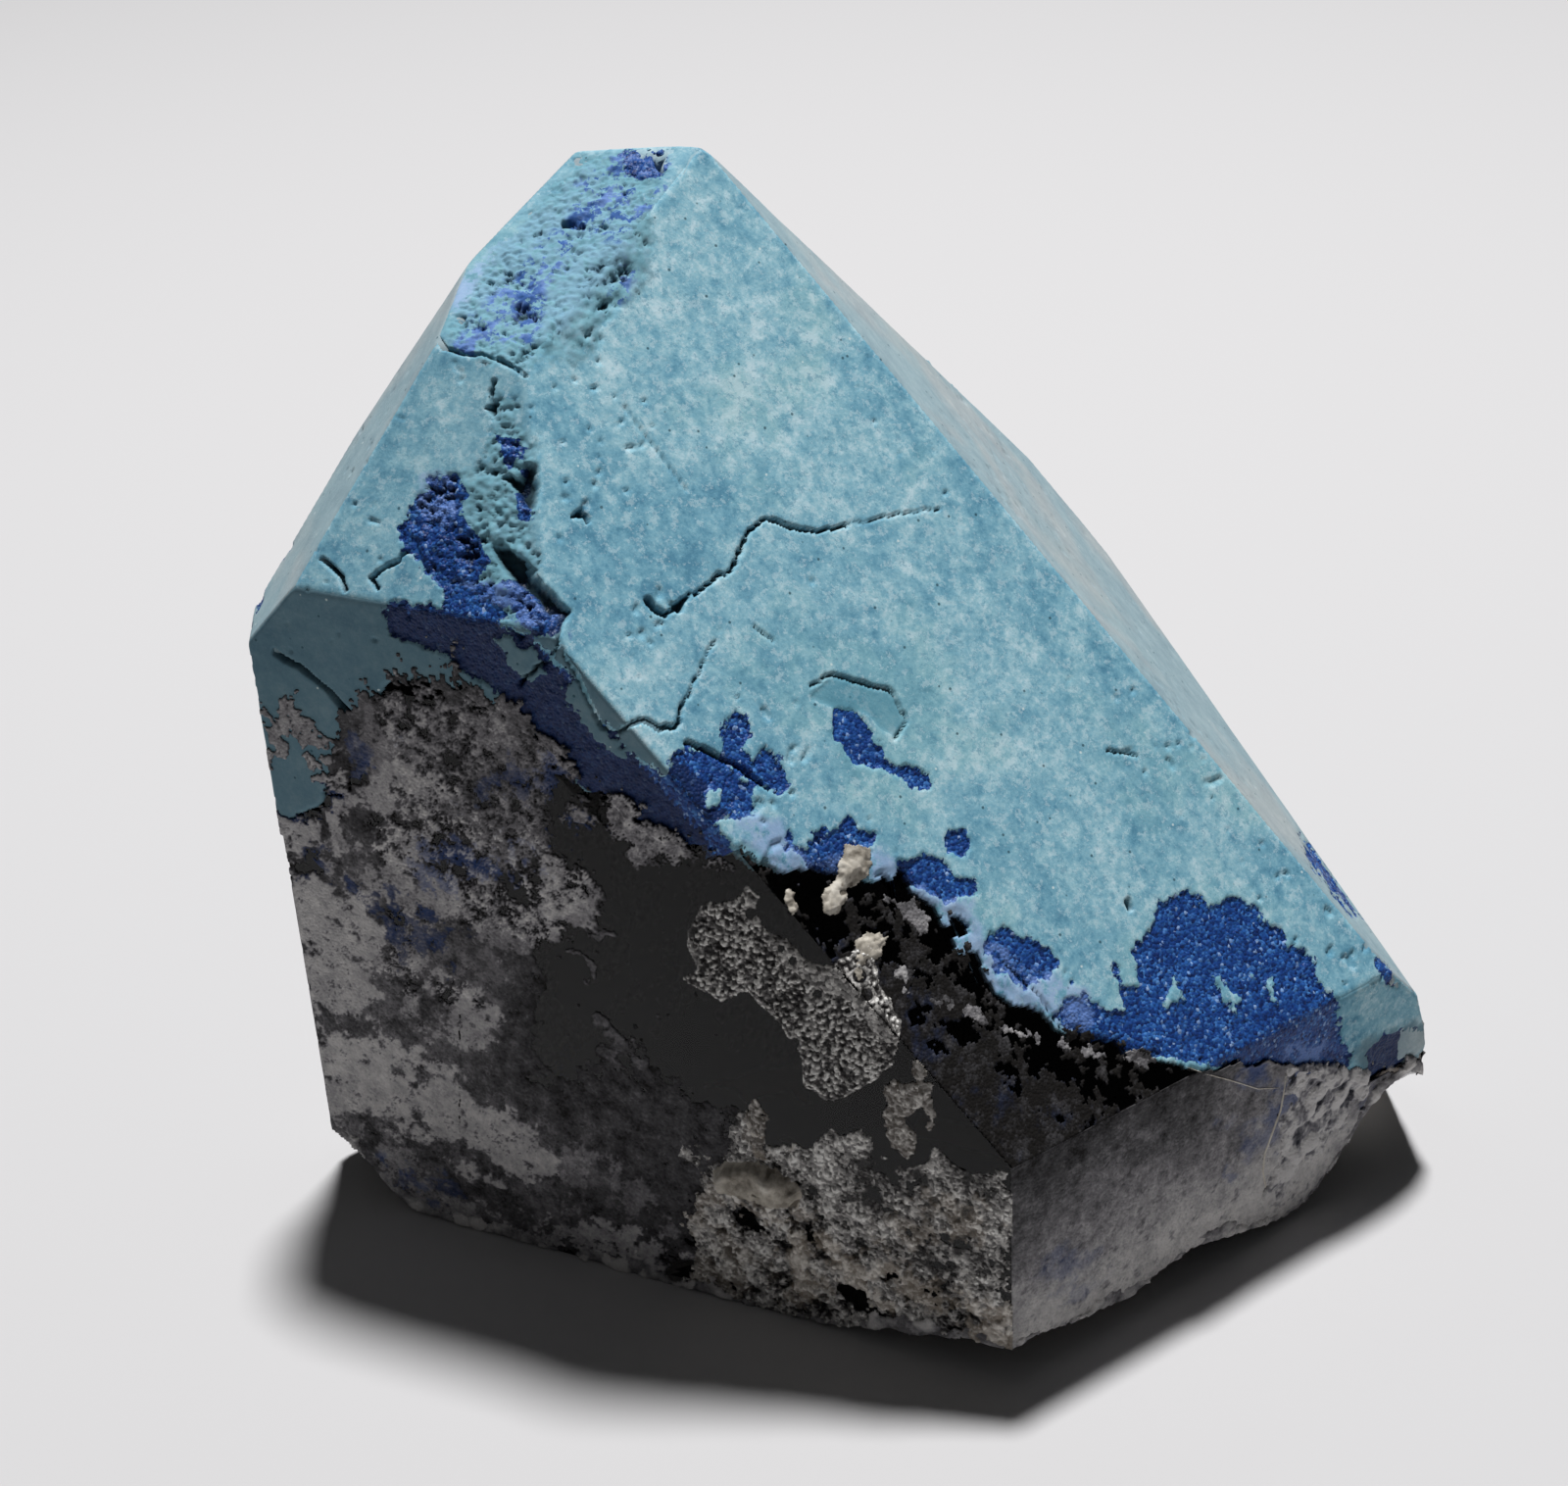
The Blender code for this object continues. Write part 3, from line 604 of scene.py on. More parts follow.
def crust_material():
    """Chrysocolla skin over shattuckite: a matt, mottled turquoise skin over royal blue grains, the palest of them
    painted glints.

    Layers of colour are laid one over the other, each by a share from 0 to 1. Sizes are in millimetres. The blue
    grains are really 0.1 to 0.2 mm. The skin's own grain is finer than a render shows, so its mottling is drawn at
    the sizes that the eye meets.
    """
    made, tree, place, shader = new_material("chrysocolla skin over shattuckite grains")
    node = partial(add, tree)
    names = ("blue", "rubble", "lavender", "band", "peeled", "hollow", "tone", "pale", "dull")
    mark = {name: node("Attribute", {}, out="Fac", attribute_name=name) for name in names}
    near = {size: node("TexVoronoi", {"Vector": place, "Scale": 1.0 / size}) for size in (GRAIN, 0.8, 1.3)}
    cloud = {
        size: node(
            "TexNoise",
            {"Vector": place, "Scale": 1.0 / size, "Detail": detail, "Roughness": rough, "Distortion": turn},
        )
        for size, detail, rough, turn in (
            (0.13, 3.0, 0.6, 0.0), (0.32, 4.0, 0.8, 0.0), (0.45, 5.0, 0.8, 0.0), (0.6, 6.0, 0.75, 0.0),
            (0.8, 4.0, 0.6, 0.0), (1.7, 8.0, 0.75, 0.0), (6.5, 3.0, 0.5, 0.4), (7.0, 3.0, 0.6, 0.0),
        )
    }
    small, medium, broad = cloud[0.6], cloud[1.7], cloud[6.5]
    # Small noise added to a mark or to broader noise, to break up its edge
    ragged = {
        name: node("Math", {0: small, 1: much, 2: value}, operation="MULTIPLY_ADD")
        for name, much, value in (
            ("blue", 0.6, mark["blue"]), ("rubble", 1.8, mark["rubble"]), ("patchy", 1.1, medium),
        )
    }
    share = {
        name: node(
            "MapRange", {"Value": value, "From Min": low, "From Max": high, "To Min": least, "To Max": most},
            interpolation_type="SMOOTHSTEP",
        )
        for name, value, low, high, least, most in (
            ("greener", cloud[7.0], 0.50, 0.62, 0.0, 0.22), ("bleached", cloud[0.45], 0.54, 0.58, 0.0, 0.42),
            ("deeper", cloud[0.32], 0.56, 0.61, 0.0, 0.50), ("pinkish", broad, 0.40, 0.60, 0.0, 1.0),
            ("specks", near[0.8], 0.095, 0.05, 0.0, 0.8), ("dots", near[1.3], 0.05, 0.03, 0.0, 0.7),
            ("navy", medium, 0.60, 0.40, 0.0, 0.5), ("lilac spots", small, 0.44, 0.56, 0.0, 1.0),
            ("lavender grains", mark["lavender"], -0.05, 0.25, 0.0, 1.0),
            ("lavender skin", mark["lavender"], -0.15, 0.3, 0.0, 1.0),
            ("lavender mottle", small, 0.36, 0.52, 0.0, 0.7),
            ("bared", ragged["blue"], 0.285, 0.32, 0.0, 1.0), ("crumbled", ragged["rubble"], 0.8, 1.1, 0.0, 1.0),
            ("patchy", ragged["patchy"], 1.05, 1.09, 0.0, 1.0), ("banded", mark["band"], -0.1, 0.25, 0.08, 0.93),
            ("lilac rubble", cloud[0.8], 0.42, 0.62, 0.0, 1.0), ("peeled", mark["peeled"], -0.02, 0.03, 0.0, 0.55),
        )
    }
    both = {
        name: node("Math", {0: first, 1: second}, operation="MULTIPLY")
        for name, first, second in (
            ("bleached face", mark["pale"], 0.8), ("dusty skin", mark["dull"], 0.88),
            ("dusty grains", mark["dull"], 0.85), ("hollow", mark["hollow"], 0.9),
            ("lilac grains", share["lavender grains"], share["lilac spots"]),
            ("lilac skin", share["lavender skin"], share["lavender mottle"]), ("worn", share["crumbled"], 0.75),
            ("blue patches", share["crumbled"], share["patchy"]), ("sparkle", near[GRAIN], share["bared"]),
        )
    }
    both["blue rubble"] = node("Math", {0: both["blue patches"], 1: share["banded"]}, operation="MULTIPLY")
    level = -0.125
    for value, weight in ((mark["tone"], 0.05), (broad, 0.25), (small, 0.5), (medium, 0.5)):
        level = node("Math", {0: value, 1: weight, 2: level}, operation="MULTIPLY_ADD")
    random = node("SeparateColor", {"Color": near[GRAIN].node.outputs["Color"]})
    skin_stops = ((0.38, "#568DA8"), (0.63, "#C2DEE8"), (0.44, "#6DA4BB"), (0.50, "#82B5C8"), (0.56, "#9AC6D4"))
    # The palest blue stop is a painted highlight: the glint of a few grains
    blue_stops = ((0.0, "#0F2254"), (1.0, "#A8C4EC"), (0.30, "#1B4288"), (0.74, "#2A5EA8"), (0.95, "#4C84C8"))
    colour = {
        name: node("ValToRGB", {"Fac": value}, stops=stops)
        for name, value, stops in (("skin", level, skin_stops), ("blue", random, blue_stops))
    }
    # Each row lays its last colour over the one before it, by the share, under the row's name
    for name, by, under, over in (
        ("bluish grey", medium, "#7E949C", "#B2C2C6"), ("pinkish grey", medium, "#959A9C", "#BFC1C0"),
        ("bleached skin", share["pinkish"], "bluish grey", "pinkish grey"),
        # The dusty shaded skin and grains are dust with painted shade over it, darkest on the front prism's crust,
        # which lies in shade
        ("dusty skin", medium, "#365A6E", "#76919A"), ("worn skin", medium, "#4E8296", "#86B6C0"),
        ("dusty grains", small, "#0B1630", "#1C3060"), ("lilac", small, "#7F9ACC", "#3A62AC"),
        ("rubble", small, "#23468C", "#2F5A9C"), ("rubble", share["lilac rubble"], "rubble", "lilac"),
        ("skin", share["greener"], "skin", "#86B8B6"), ("skin", share["bleached"], "skin", "#C6E0E8"),
        ("skin", share["deeper"], "skin", "#5A92AC"), ("skin", both["bleached face"], "skin", "bleached skin"),
        ("skin", both["dusty skin"], "skin", "dusty skin"), ("skin", share["specks"], "skin", "#2A4C58"),
        ("skin", share["dots"], "skin", "#E2EEEC"), ("skin", both["lilac skin"], "skin", "#9BB2DA"),
        ("skin", both["worn"], "skin", "worn skin"), ("blue", share["navy"], "blue", "#12306E"),
        ("blue", both["dusty grains"], "blue", "dusty grains"), ("blue", both["lilac grains"], "blue", "lilac"),
        ("crust", share["bared"], "skin", "blue"), ("crust", both["blue rubble"], "crust", "rubble"),
        # The near black laid over cracks and hollows is painted shade
        ("crust", share["peeled"], "crust", "#4F8A9E"), ("crust", both["hollow"], "crust", "#06141C"),
    ):
        inputs = {0: by, 6: colour.get(under, under), 7: colour.get(over, over)}
        colour[name] = node("Mix", inputs, out=2, data_type="RGBA")
    rough = node("MapRange", {"Value": share["bared"], "To Min": 0.8, "To Max": 0.45})
    fine = node("Math", {0: cloud[0.13], 1: 0.25}, operation="MULTIPLY")
    grit = node("Math", {0: both["sparkle"], 1: -0.8, 2: fine}, operation="MULTIPLY_ADD")
    bump = node("Bump", {"Height": grit, "Strength": 0.8, "Distance": 0.00006})
    for value, socket in ((colour["crust"], "Base Color"), (rough, "Roughness"), (bump, "Normal")):
        tree.links.new(value, shader.inputs[socket])
    shader.inputs["Specular IOR Level"].default_value = 0.2
    return made


def quartz_material():
    """Smoky clear quartz: glassy faces, dark inside, where the crust shuts out light and the stone soaks it up."""
    made, tree, place, shader = new_material("smoky clear quartz")
    for key, value in (
        ("Base Color", linear("#F4F2EE")), ("Roughness", 0.06), ("IOR", 1.544), ("Transmission Weight", 1.0),
        ("Specular Tint", linear("#8A8A8A")),
    ):
        shader.inputs[key].default_value = value
    soak = add(tree, "VolumeAbsorption", {"Color": "#6B5A4C", "Density": 260.0})
    tree.links.new(soak, tree.nodes["Material Output"].inputs["Volume"])
    wave = add(tree, "TexNoise", {"Vector": place, "Scale": 1.0 / 1.5, "Detail": 2.0, "Roughness": 0.5})
    bump = add(tree, "Bump", {"Height": wave, "Strength": 0.15, "Distance": 0.0001})
    tree.links.new(bump, shader.inputs["Normal"])
    return made


def growth_material(name, stops, rough, size, contrast, tint):
    """Tiny grains or a film: its shade number (its thickness, and on grains their painted highlights), a grain's own
    shade and clouds choose its colour, tinted in places.
    """
    made, tree, place, shader = new_material(name)
    node = partial(add, tree)
    depth = node("TexVoronoi", {"Vector": place, "Scale": 1.0 / size})
    random = node("SeparateColor", {"Color": depth.node.outputs["Color"]}, out=1)
    cloud = node("TexNoise", {"Vector": place, "Scale": 1.0 / 0.7, "Detail": 7.0, "Roughness": 0.72})
    both = node("Math", {0: random, 1: contrast, 2: cloud}, operation="MULTIPLY_ADD")
    level = node("Math", {0: both, 1: 0.5 + contrast / 2}, operation="SUBTRACT")
    # The shade number: a film's thickness, and on grains and facets their painted highlights
    thick = node("Attribute", {}, out="Fac", attribute_name="shade")
    value = node("Math", {0: level, 1: thick}, operation="ADD")
    colour = node("ValToRGB", {"Fac": value}, stops=stops)
    share = node("Attribute", {}, out="Fac", attribute_name="tint")
    colour = node("Mix", {0: share, 6: colour, 7: tint}, out=2, data_type="RGBA")
    bump = node("Bump", {"Height": depth, "Strength": 0.6, "Distance": -0.00006})
    for output, socket in ((colour, "Base Color"), (bump, "Normal")):
        tree.links.new(output, shader.inputs[socket])
    shader.inputs["Roughness"].default_value = rough
    shader.inputs["Specular IOR Level"].default_value = 0.15
    return made


# The quartz and what grew on it


def crystal_body(edge, rings):
    """The crystal's faces, each a fan: rim points round its corners, and rings that shrink towards its middle."""
    points, faces, first = [], [], 0
    for face in FACES:
        corners = face_corners(face)
        rim = []
        for a, b in zip(corners, np.roll(corners, -1, axis=0)):
            steps = max(1, int(np.ceil(np.linalg.norm(b - a) / edge)))
            rim.append(a + (b - a) * (np.arange(steps) / steps)[:, None])
        rim = np.concatenate(rim)
        middle = corners.mean(0)
        grid = middle + rings[:, None, None] * (rim - middle)
        size = len(rim)
        index = first + np.arange(len(rings) * size).reshape(len(rings), size)
        after = np.roll(index, -1, axis=1)
        quads = np.stack((index[:-1], index[1:], after[1:], after[:-1]), axis=-1).reshape(-1, 4)
        points.append(grid.reshape(-1, 3))
        faces.append(quads)
        first += len(rings) * size
    return np.concatenate(points), np.concatenate(faces)


# Where the break is chipped: middle, reach and height
CHIPS = (
    ((-20.6, -14.8), 5.5, 3.6), ((10.2, -14.8), 9.5, 1.5), ((15.0, -6.5), 6.5, 1.3), ((20.8, 2.5), 6.5, 4.4),
    ((14.0, 12.5), 6.5, 2.4), ((-15.5, 3.5), 4.5, 2.1), ((1.0, 15.5), 5.0, 1.6), ((3.0, 3.0), 4.5, 0.7),
)
LIFT_FADES_AT = 7.5


def fracture(points):
    """How far the break stands above the base: rounded chips, and ragged nicks that grow with them."""
    x, y = points[..., 0], points[..., 1]
    lift = np.zeros(points.shape[:-1])
    for (cx, cy), reach, height in CHIPS:
        lift += height * rise_between(0.0, 1.0, 1.0 - np.hypot(x - cx, y - cy) / reach)
    level = points * (1.0, 1.0, 0.0)
    return np.maximum(0.0, lift + 0.35 * layered(level, 1.6, 71, 4, 0.55) * np.minimum(1.0, 0.3 + lift))


def quartz_body():
    """The quartz: the crystal's faces, drawn in toward its heart under the crust, and lifted along the break."""
    rings = np.array((0.0, 0.3, 0.55, 0.72, 0.83, 0.90, 0.945, 0.97, 0.985, 0.995, 1.0))
    points, faces = crystal_body(0.35, rings)
    under = rise_between(0.3, 0.9, above_edge(points))[:, None]
    inward = np.array(QUARTZ_HEART) - points
    points += DRAWN_IN * under * inward / np.linalg.norm(inward, axis=1)[:, None]
    low = points[:, 2] < LIFT_FADES_AT
    points[low, 2] += fracture(points[low]) * (1.0 - points[low, 2] / LIFT_FADES_AT)
    piece = put("clear_quartz", points, faces, QUARTZ, smooth=False)
    tidy(piece)
    return belongs(piece, "quartz_crystal")


def film(name, face, cell, cover, thickness, material, region):
    """A thin closed sheet on a crystal face in a picture region, kept where cover says more than 0.

    cover gives for points and picture points how deep inside the sheet they are, its height from 0 to 1, its shade
    and its tint. Where the crust stands on the face, the sheet climbs over it. No region means the whole face.
    """
    out = axes_of(face)[2]
    corners = face_corners(face)
    if region:
        left, top, right, bottom = region
        corners = on_face(face, ((left, top), (right, top), (right, bottom), (left, bottom)))
    plane, over = face_grid(face, corners, cell)
    pixels = in_picture(plane)
    amount, height, shade, tint = cover(plane, pixels)
    fall = np.where(plane[..., 2] < LIFT_FADES_AT, plane[..., 2] - fracture(plane), 1.0)
    inside = (over > -0.04) & (fall > 0.0)
    if region:
        inside &= (pixels[..., 0] >= left) & (pixels[..., 0] < right)
    amount = np.where(inside, amount, -1.0)
    raised = thickness * height * rise_between(0.0, 0.2, amount) + FILM_LIFT
    raised += (PROUD + 0.01) * rise_between(-0.30, -0.02, above_edge(plane))
    top = plane + raised[..., None] * out
    piece = sheet(name, top, cell_means(amount) > 0.0, -out, FILM_BACK, material, True, shade=shade, tint=tint)
    return belongs(piece, "quartz_crystal")


# Ovals in the picture: middle, half width and height, tilt in degrees, strength. Pale milky haze on the front face;
# the low, flat ovals along its broken bottom edge are partly painted light shining through the thin edge
HAZE = (
    (440, 1118, 66, 34, 30, 0.78), (340, 925, 50, 36, 20, 0.8), (350, 985, 48, 50, 0, 0.8),
    (385, 1100, 74, 40, 35, 0.86), (358, 1112, 36, 42, 0, 0.76), (490, 1150, 62, 30, 30, 0.8),
    (522, 1180, 28, 22, 30, 0.76), (462, 1026, 42, 32, 25, 0.68), (470, 1050, 36, 20, 0, 0.68),
    (420, 965, 22, 30, 0, 0.62), (430, 905, 62, 26, 15, 0.7), (300, 745, 20, 26, 0, 0.62),
    (322, 740, 16, 18, 0, 0.6), (325, 787, 36, 13, 40, 0.76), (352, 830, 32, 12, 48, 0.7),
    (302, 845, 22, 14, 0, 0.72), (345, 868, 26, 14, 30, 0.62), (408, 745, 26, 52, 0, 0.52),
    (440, 830, 52, 36, 20, 0.7), (372, 700, 24, 18, 0, 0.34), (470, 730, 50, 42, 0, 0.46),
    (520, 790, 62, 36, 20, 0.4), (567, 776, 22, 24, 0, 0.54), (560, 912, 42, 40, 0, 0.66),
    (515, 932, 50, 28, 20, 0.52), (500, 835, 62, 42, 0, 0.42), (588, 1188, 20, 20, 40, 0.52),
    (410, 1180, 15, 16, 0, 0.62), (430, 1208, 46, 12, 40, 0.54), (450, 1232, 60, 10, 22, 0.6),
    (560, 1264, 110, 12, 12, 0.62), (640, 1198, 26, 9, 15, 0.46), (664, 1222, 20, 20, 0, 0.42),
    (575, 1225, 26, 10, 40, 0.44), (640, 1050, 14, 24, -30, 0.34), (600, 982, 7, 14, -20, 0.4),
    (630, 1270, 60, 14, 8, 0.66),
)
VEIL = (
    (420, 1020, 110, 230, -12, 0.38), (480, 1180, 190, 90, 15, 0.34), (470, 780, 120, 110, 30, 0.44),
    (640, 1180, 120, 110, 0, 0.2),
)
SHADES = (
    (312, 812, 25, 20, 0, 0.9), (371, 798, 12, 16, 20, 0.7), (335, 884, 26, 22, 40, 0.6),
    (404, 925, 30, 12, 35, 0.5), (445, 958, 26, 18, 0, 0.5), (445, 1176, 24, 13, 20, 0.55),
    (414, 1040, 34, 18, 10, 0.45), (372, 1158, 20, 10, 20, 0.4), (590, 830, 26, 34, 0, 0.8),
    (500, 800, 20, 16, 0, 0.4), (470, 702, 20, 12, 20, 0.5), (480, 1205, 40, 12, 25, 0.4),
    (405, 1150, 22, 10, 20, 0.4),
)
BLUE_TINT = (
    (312, 812, 25, 20, 0, 0.8), (335, 884, 26, 22, 40, 0.6), (404, 925, 30, 12, 35, 0.5),
    (445, 958, 24, 16, 0, 0.5), (478, 878, 34, 18, 10, 0.75), (600, 852, 22, 14, 0, 0.8),
    (410, 1216, 20, 14, 40, 0.6), (455, 1208, 16, 8, 20, 0.4), (560, 800, 26, 16, 0, 0.6),
    (520, 800, 22, 12, 0, 0.45), (365, 765, 16, 22, 0, 0.5),
)
GRAINY = (
    ((372, 690), (400, 655), (440, 662), (480, 690), (520, 715), (575, 765), (600, 800), (602, 880), (590, 940),
     (530, 965), (470, 935), (440, 900), (400, 895), (385, 850), (400, 800), (380, 740)),
    ((400, 940), (430, 925), (445, 960), (420, 1000), (400, 985)),
    ((420, 1010), (460, 985), (500, 1010), (514, 1040), (470, 1030)),
)
CRUSTY = (
    ((615, 812), (640, 800), (665, 818), (655, 835), (690, 840), (705, 870), (690, 884), (672, 872), (645, 884),
     (640, 860), (620, 850)),
    ((575, 835), (590, 820), (600, 826), (612, 838), (590, 846)),
    ((715, 868), (738, 872), (745, 886), (725, 884)), ((455, 655), (470, 650), (466, 668)),
    ((428, 650), (440, 648), (436, 664)), ((355, 655), (362, 652), (362, 666)),
)
# The same on the right face, whose broken edge is milky, and pale partly by painted light shining through it
RIGHT_EDGE = ((1030, 1392), (1075, 1352), (1140, 1302), (1200, 1268), (1250, 1242), (1300, 1215), (1340, 1165))
RIGHT_HAZE = (
    (1270, 1205, 50, 26, -30, 0.72), (1330, 1140, 26, 46, 20, 0.66), (1225, 1240, 60, 22, -28, 0.66),
    (1175, 1160, 20, 10, 10, 0.42), (1240, 1180, 26, 6, 30, 0.4),
)
RIGHT_TINT = (
    (1254, 1192, 16, 10, 0, 0.55), (1276, 1151, 26, 18, 0, 0.5), (1092, 1300, 32, 14, 0, 0.45),
    (1350, 1100, 50, 12, 0, 0.9), (1310, 1125, 14, 26, 0, 0.7), (1168, 1092, 16, 8, 0, 0.5),
)
GLASSY_CORNER = (
    (1316, 1094), (1345, 1090), (1392, 1084), (1400, 1112), (1378, 1140), (1352, 1165), (1322, 1196),
    (1304, 1228), (1290, 1222), (1300, 1165), (1310, 1130),
)
UPPER_DRUSE = (
    (704, 945), (719, 922), (750, 918), (762, 905), (779, 913), (770, 931), (782, 949), (804, 958), (820, 978),
    (846, 985), (871, 969), (891, 954), (898, 1005), (909, 1018), (920, 1041), (916, 1070), (909, 1090),
    (887, 1105), (864, 1117), (840, 1123), (822, 1108), (815, 1074), (788, 1034), (762, 1012), (735, 1021),
    (717, 1012), (699, 998), (712, 987), (699, 963),
)
UPPER_SMOOTH = (
    ((766, 900), (780, 906), (780, 938), (768, 945), (760, 925)),
    ((787, 951), (820, 975), (849, 982), (880, 1000), (905, 1040), (918, 1063), (900, 1062), (870, 1020),
     (840, 1010), (805, 985), (785, 965)),
)
DRUSE_HOLES = (
    ((877, 996), 6.5), ((884, 1015), 6.0), ((834, 1014), 5.0), ((811, 1064), 5.5), ((809, 980), 4.5),
    ((766, 932), 6.0), ((797, 968), 4.0),
)
LOWER_DRUSE = (
    (690, 1190), (700, 1168), (740, 1172), (760, 1135), (772, 1140), (782, 1170), (830, 1165), (850, 1152),
    (885, 1160), (900, 1185), (960, 1190), (985, 1195), (1015, 1210), (1026, 1240), (1028, 1300), (1040, 1400),
    (960, 1390), (850, 1370), (740, 1352), (690, 1310), (700, 1270), (695, 1230),
)
LOWER_GAPS = (
    ((826, 1210), (850, 1205), (858, 1240), (838, 1253), (824, 1235)), ((850, 1192), (862, 1196), (858, 1212)),
    ((915, 1200), (940, 1205), (930, 1225)), ((760, 1240), (800, 1245), (790, 1265), (765, 1260)),
)
# Paler, beige lumps: middle, half sizes, tilt and height
BEIGE = (
    (822, 1290, 24, 32, 0, 1.0), (885, 1298, 24, 22, 0, 1.0), (950, 1318, 24, 14, 20, 0.9),
    (1012, 1350, 24, 24, 30, 1.0), (1036, 1368, 12, 16, 0, 1.0), (765, 1225, 60, 8, 12, 0.7),
    (705, 1240, 18, 26, 0, 0.6), (1040, 1247, 10, 9, 0, 0.9), (780, 1160, 14, 18, 0, 0.8),
    (985, 1240, 26, 22, 0, 0.6), (740, 1290, 30, 24, 0, 0.5), (930, 1255, 26, 20, 0, 0.5),
)
DRUSE_SPILLS = (
    ((905, 1104), (912, 1092), (925, 1106), (950, 1105), (958, 1140), (950, 1155), (940, 1130), (925, 1140),
     (935, 1165), (925, 1185), (910, 1165), (898, 1140)),
    ((930, 1085), (938, 1083), (945, 1092), (940, 1099), (932, 1096)),
    ((755, 1140), (772, 1120), (783, 1140), (776, 1172), (758, 1165)),
)
CREAM_LUMPS = (

    ((862, 866), (874, 862), (885, 866), (883, 893), (864, 906), (856, 930), (841, 930), (840, 907), (851, 894)),
    ((801, 909), (808, 907), (814, 930), (808, 934)),
    ((872, 960), (884, 950), (905, 956), (900, 978), (886, 982), (876, 1000), (868, 985)),
)
CRUMBS = (
    ((907, 920), (930, 917), (949, 940), (940, 955), (915, 940)),
    ((915, 1008), (940, 1013), (1000, 1037), (1070, 1063), (1068, 1067), (1000, 1042), (940, 1019)),
    ((1080, 1066), (1135, 1073), (1180, 1080), (1178, 1084), (1120, 1079)),
    ((900, 986), (930, 990), (925, 1000), (905, 996)),
)
CREAM_OVAL = (
    (727, 1194), (740, 1184), (775, 1184), (800, 1195), (818, 1212), (816, 1232), (790, 1230), (760, 1222),
    (735, 1212),
)


def ovals(pixels, marks, wander, soft=0.18):
    """The strongest of several ovals at each picture point: whole inside, gone outside, with a wandering edge."""
    total = np.zeros(pixels.shape[:-1])
    for x, y, wide, high, tilt, strength in marks:
        right, down = pixels[..., 0] - x, pixels[..., 1] - y
        c, s = cos(radians(tilt)), sin(radians(tilt))
        ring = np.hypot((right * c + down * s) / wide, (down * c - right * s) / high)
        total = np.maximum(total, strength * rise_between(1.0 + soft, 1.0 - soft, ring + wander))
    return total


def bent_by(points, pixels, size, far, seed):
    """The picture points pushed about by noise, which breaks up the edges of the ovals drawn there."""
    push = np.stack((layered(points, size, seed, 5, 0.7), layered(points, size, seed + 7, 5, 0.7)), axis=-1)
    return pixels + far * push


def flecks(points, size, seed, share):
    """Tiny separate flecks: near the middle of some of the cells of the given size."""
    depth, owner = grains(points, size, seed)
    return np.where(owner < share, 1.0 - depth * 5.0, 0.0)


def front_film(points, pixels):
    """Milky haze and mauve dust on the front face, with dark pits where it is grainy, and pale flecks beyond it."""
    cloud, bits = layered(points, 1.5, 81, 6, 0.74), layered(points, 0.45, 86, 5, 0.85)
    grainy = rise_between(-0.4, 0.4, in_any(pixels, GRAINY) + 2.0 * cloud)
    wander = 1.1 * cloud + bits * (0.25 + 1.5 * grainy)
    veil = ovals(pixels, VEIL, 0.6 * cloud, 0.6)
    bent = bent_by(points, pixels, 1.6, 60.0, 201)
    pale = np.maximum(ovals(bent, HAZE, wander, 0.22), veil)
    pits = np.maximum(grainy * rise_between(0.02, 0.22, bits + 0.4 * cloud), 0.6 * rise_between(0.26, 0.36, bits))
    shade = pale * (1.0 - 0.75 * pits) + 0.9 * grainy * np.clip(-bits - 0.05, 0.0, 1.0) * (pale > 0.25)
    shade = shade * (1.0 - ovals(bent, SHADES, wander + 0.8 * bits))
    crusty = in_any(pixels, CRUSTY) + 1.1 * bits
    shade = np.maximum(shade, 0.62 * rise_between(0.0, 0.1, crusty) * (1.0 - 1.4 * bits))
    bright = np.maximum(flecks(points, 0.55, 88, 0.22), 0.9 * flecks(points, 0.3, 90, 0.10))
    shade = np.maximum(shade, 0.5 * np.clip(bright, 0.0, 1.0))
    on_crust = rise_between(0.3, 0.9, above_edge(points) + 1.5 * bits)
    amount = shade - 0.13 - 0.30 * on_crust
    tint = ovals(bent, BLUE_TINT, wander + 0.8 * bits) * (0.8 + bits)
    return amount, 0.5 + 0.8 * shade + 2.5 * grainy * np.clip(-bits, 0.0, 1.0), shade, np.clip(tint, 0.0, 1.0)


def right_film(points, pixels):
    """Milky haze on the right face, paler toward its broken edge: partly milky quartz, partly painted light shining
    through the thin edge.
    """
    cloud, bits = layered(points, 1.8, 91, 6, 0.7), layered(points, 0.4, 96, 4, 0.8)
    edge = away_from(pixels, RIGHT_EDGE) + 40.0 * cloud
    pale = np.maximum(0.95 * np.clip(1.0 - edge / 185.0, 0.0, 1.0) ** 1.2, ovals(pixels, RIGHT_HAZE, cloud, 0.5))
    shade = pale * (1.0 - 0.35 * rise_between(0.2, 0.4, bits))
    bright = np.maximum(flecks(points, 0.6, 98, 0.2), 0.9 * flecks(points, 0.3, 99, 0.08))
    shade = np.maximum(shade, 0.45 * np.clip(bright, 0.0, 1.0))
    shade = np.maximum(shade, 0.04 + 0.1 * cloud)
    amount = np.where(above_edge(points) < 0.0, 1.0, -1.0)
    tint = 0.8 * ovals(bent_by(points, pixels, 1.6, 50.0, 205), RIGHT_TINT, cloud, 0.5)
    return amount, 0.5 + 0.5 * shade, shade, tint


def hidden_haze(points, pixels):
    """Milky haze and druse on a side that the photograph doesn't show, thickest toward the break."""
    cloud, bits = layered(points, 5.0, 231, 6, 0.7), layered(points, 0.9, 236, 4, 0.8)
    low = 0.16 * rise_between(9.0, 0.0, points[..., 2])
    shade = 0.12 + low + 1.0 * cloud + 0.35 * bits
    amount = np.where(above_edge(points) < -0.05, shade - 0.16, -1.0)
    tint = 0.4 * rise_between(0.30, 0.45, bits - cloud)
    return amount, 0.4 + np.clip(shade, 0.0, 1.0), np.clip(shade, 0.0, 0.5), tint


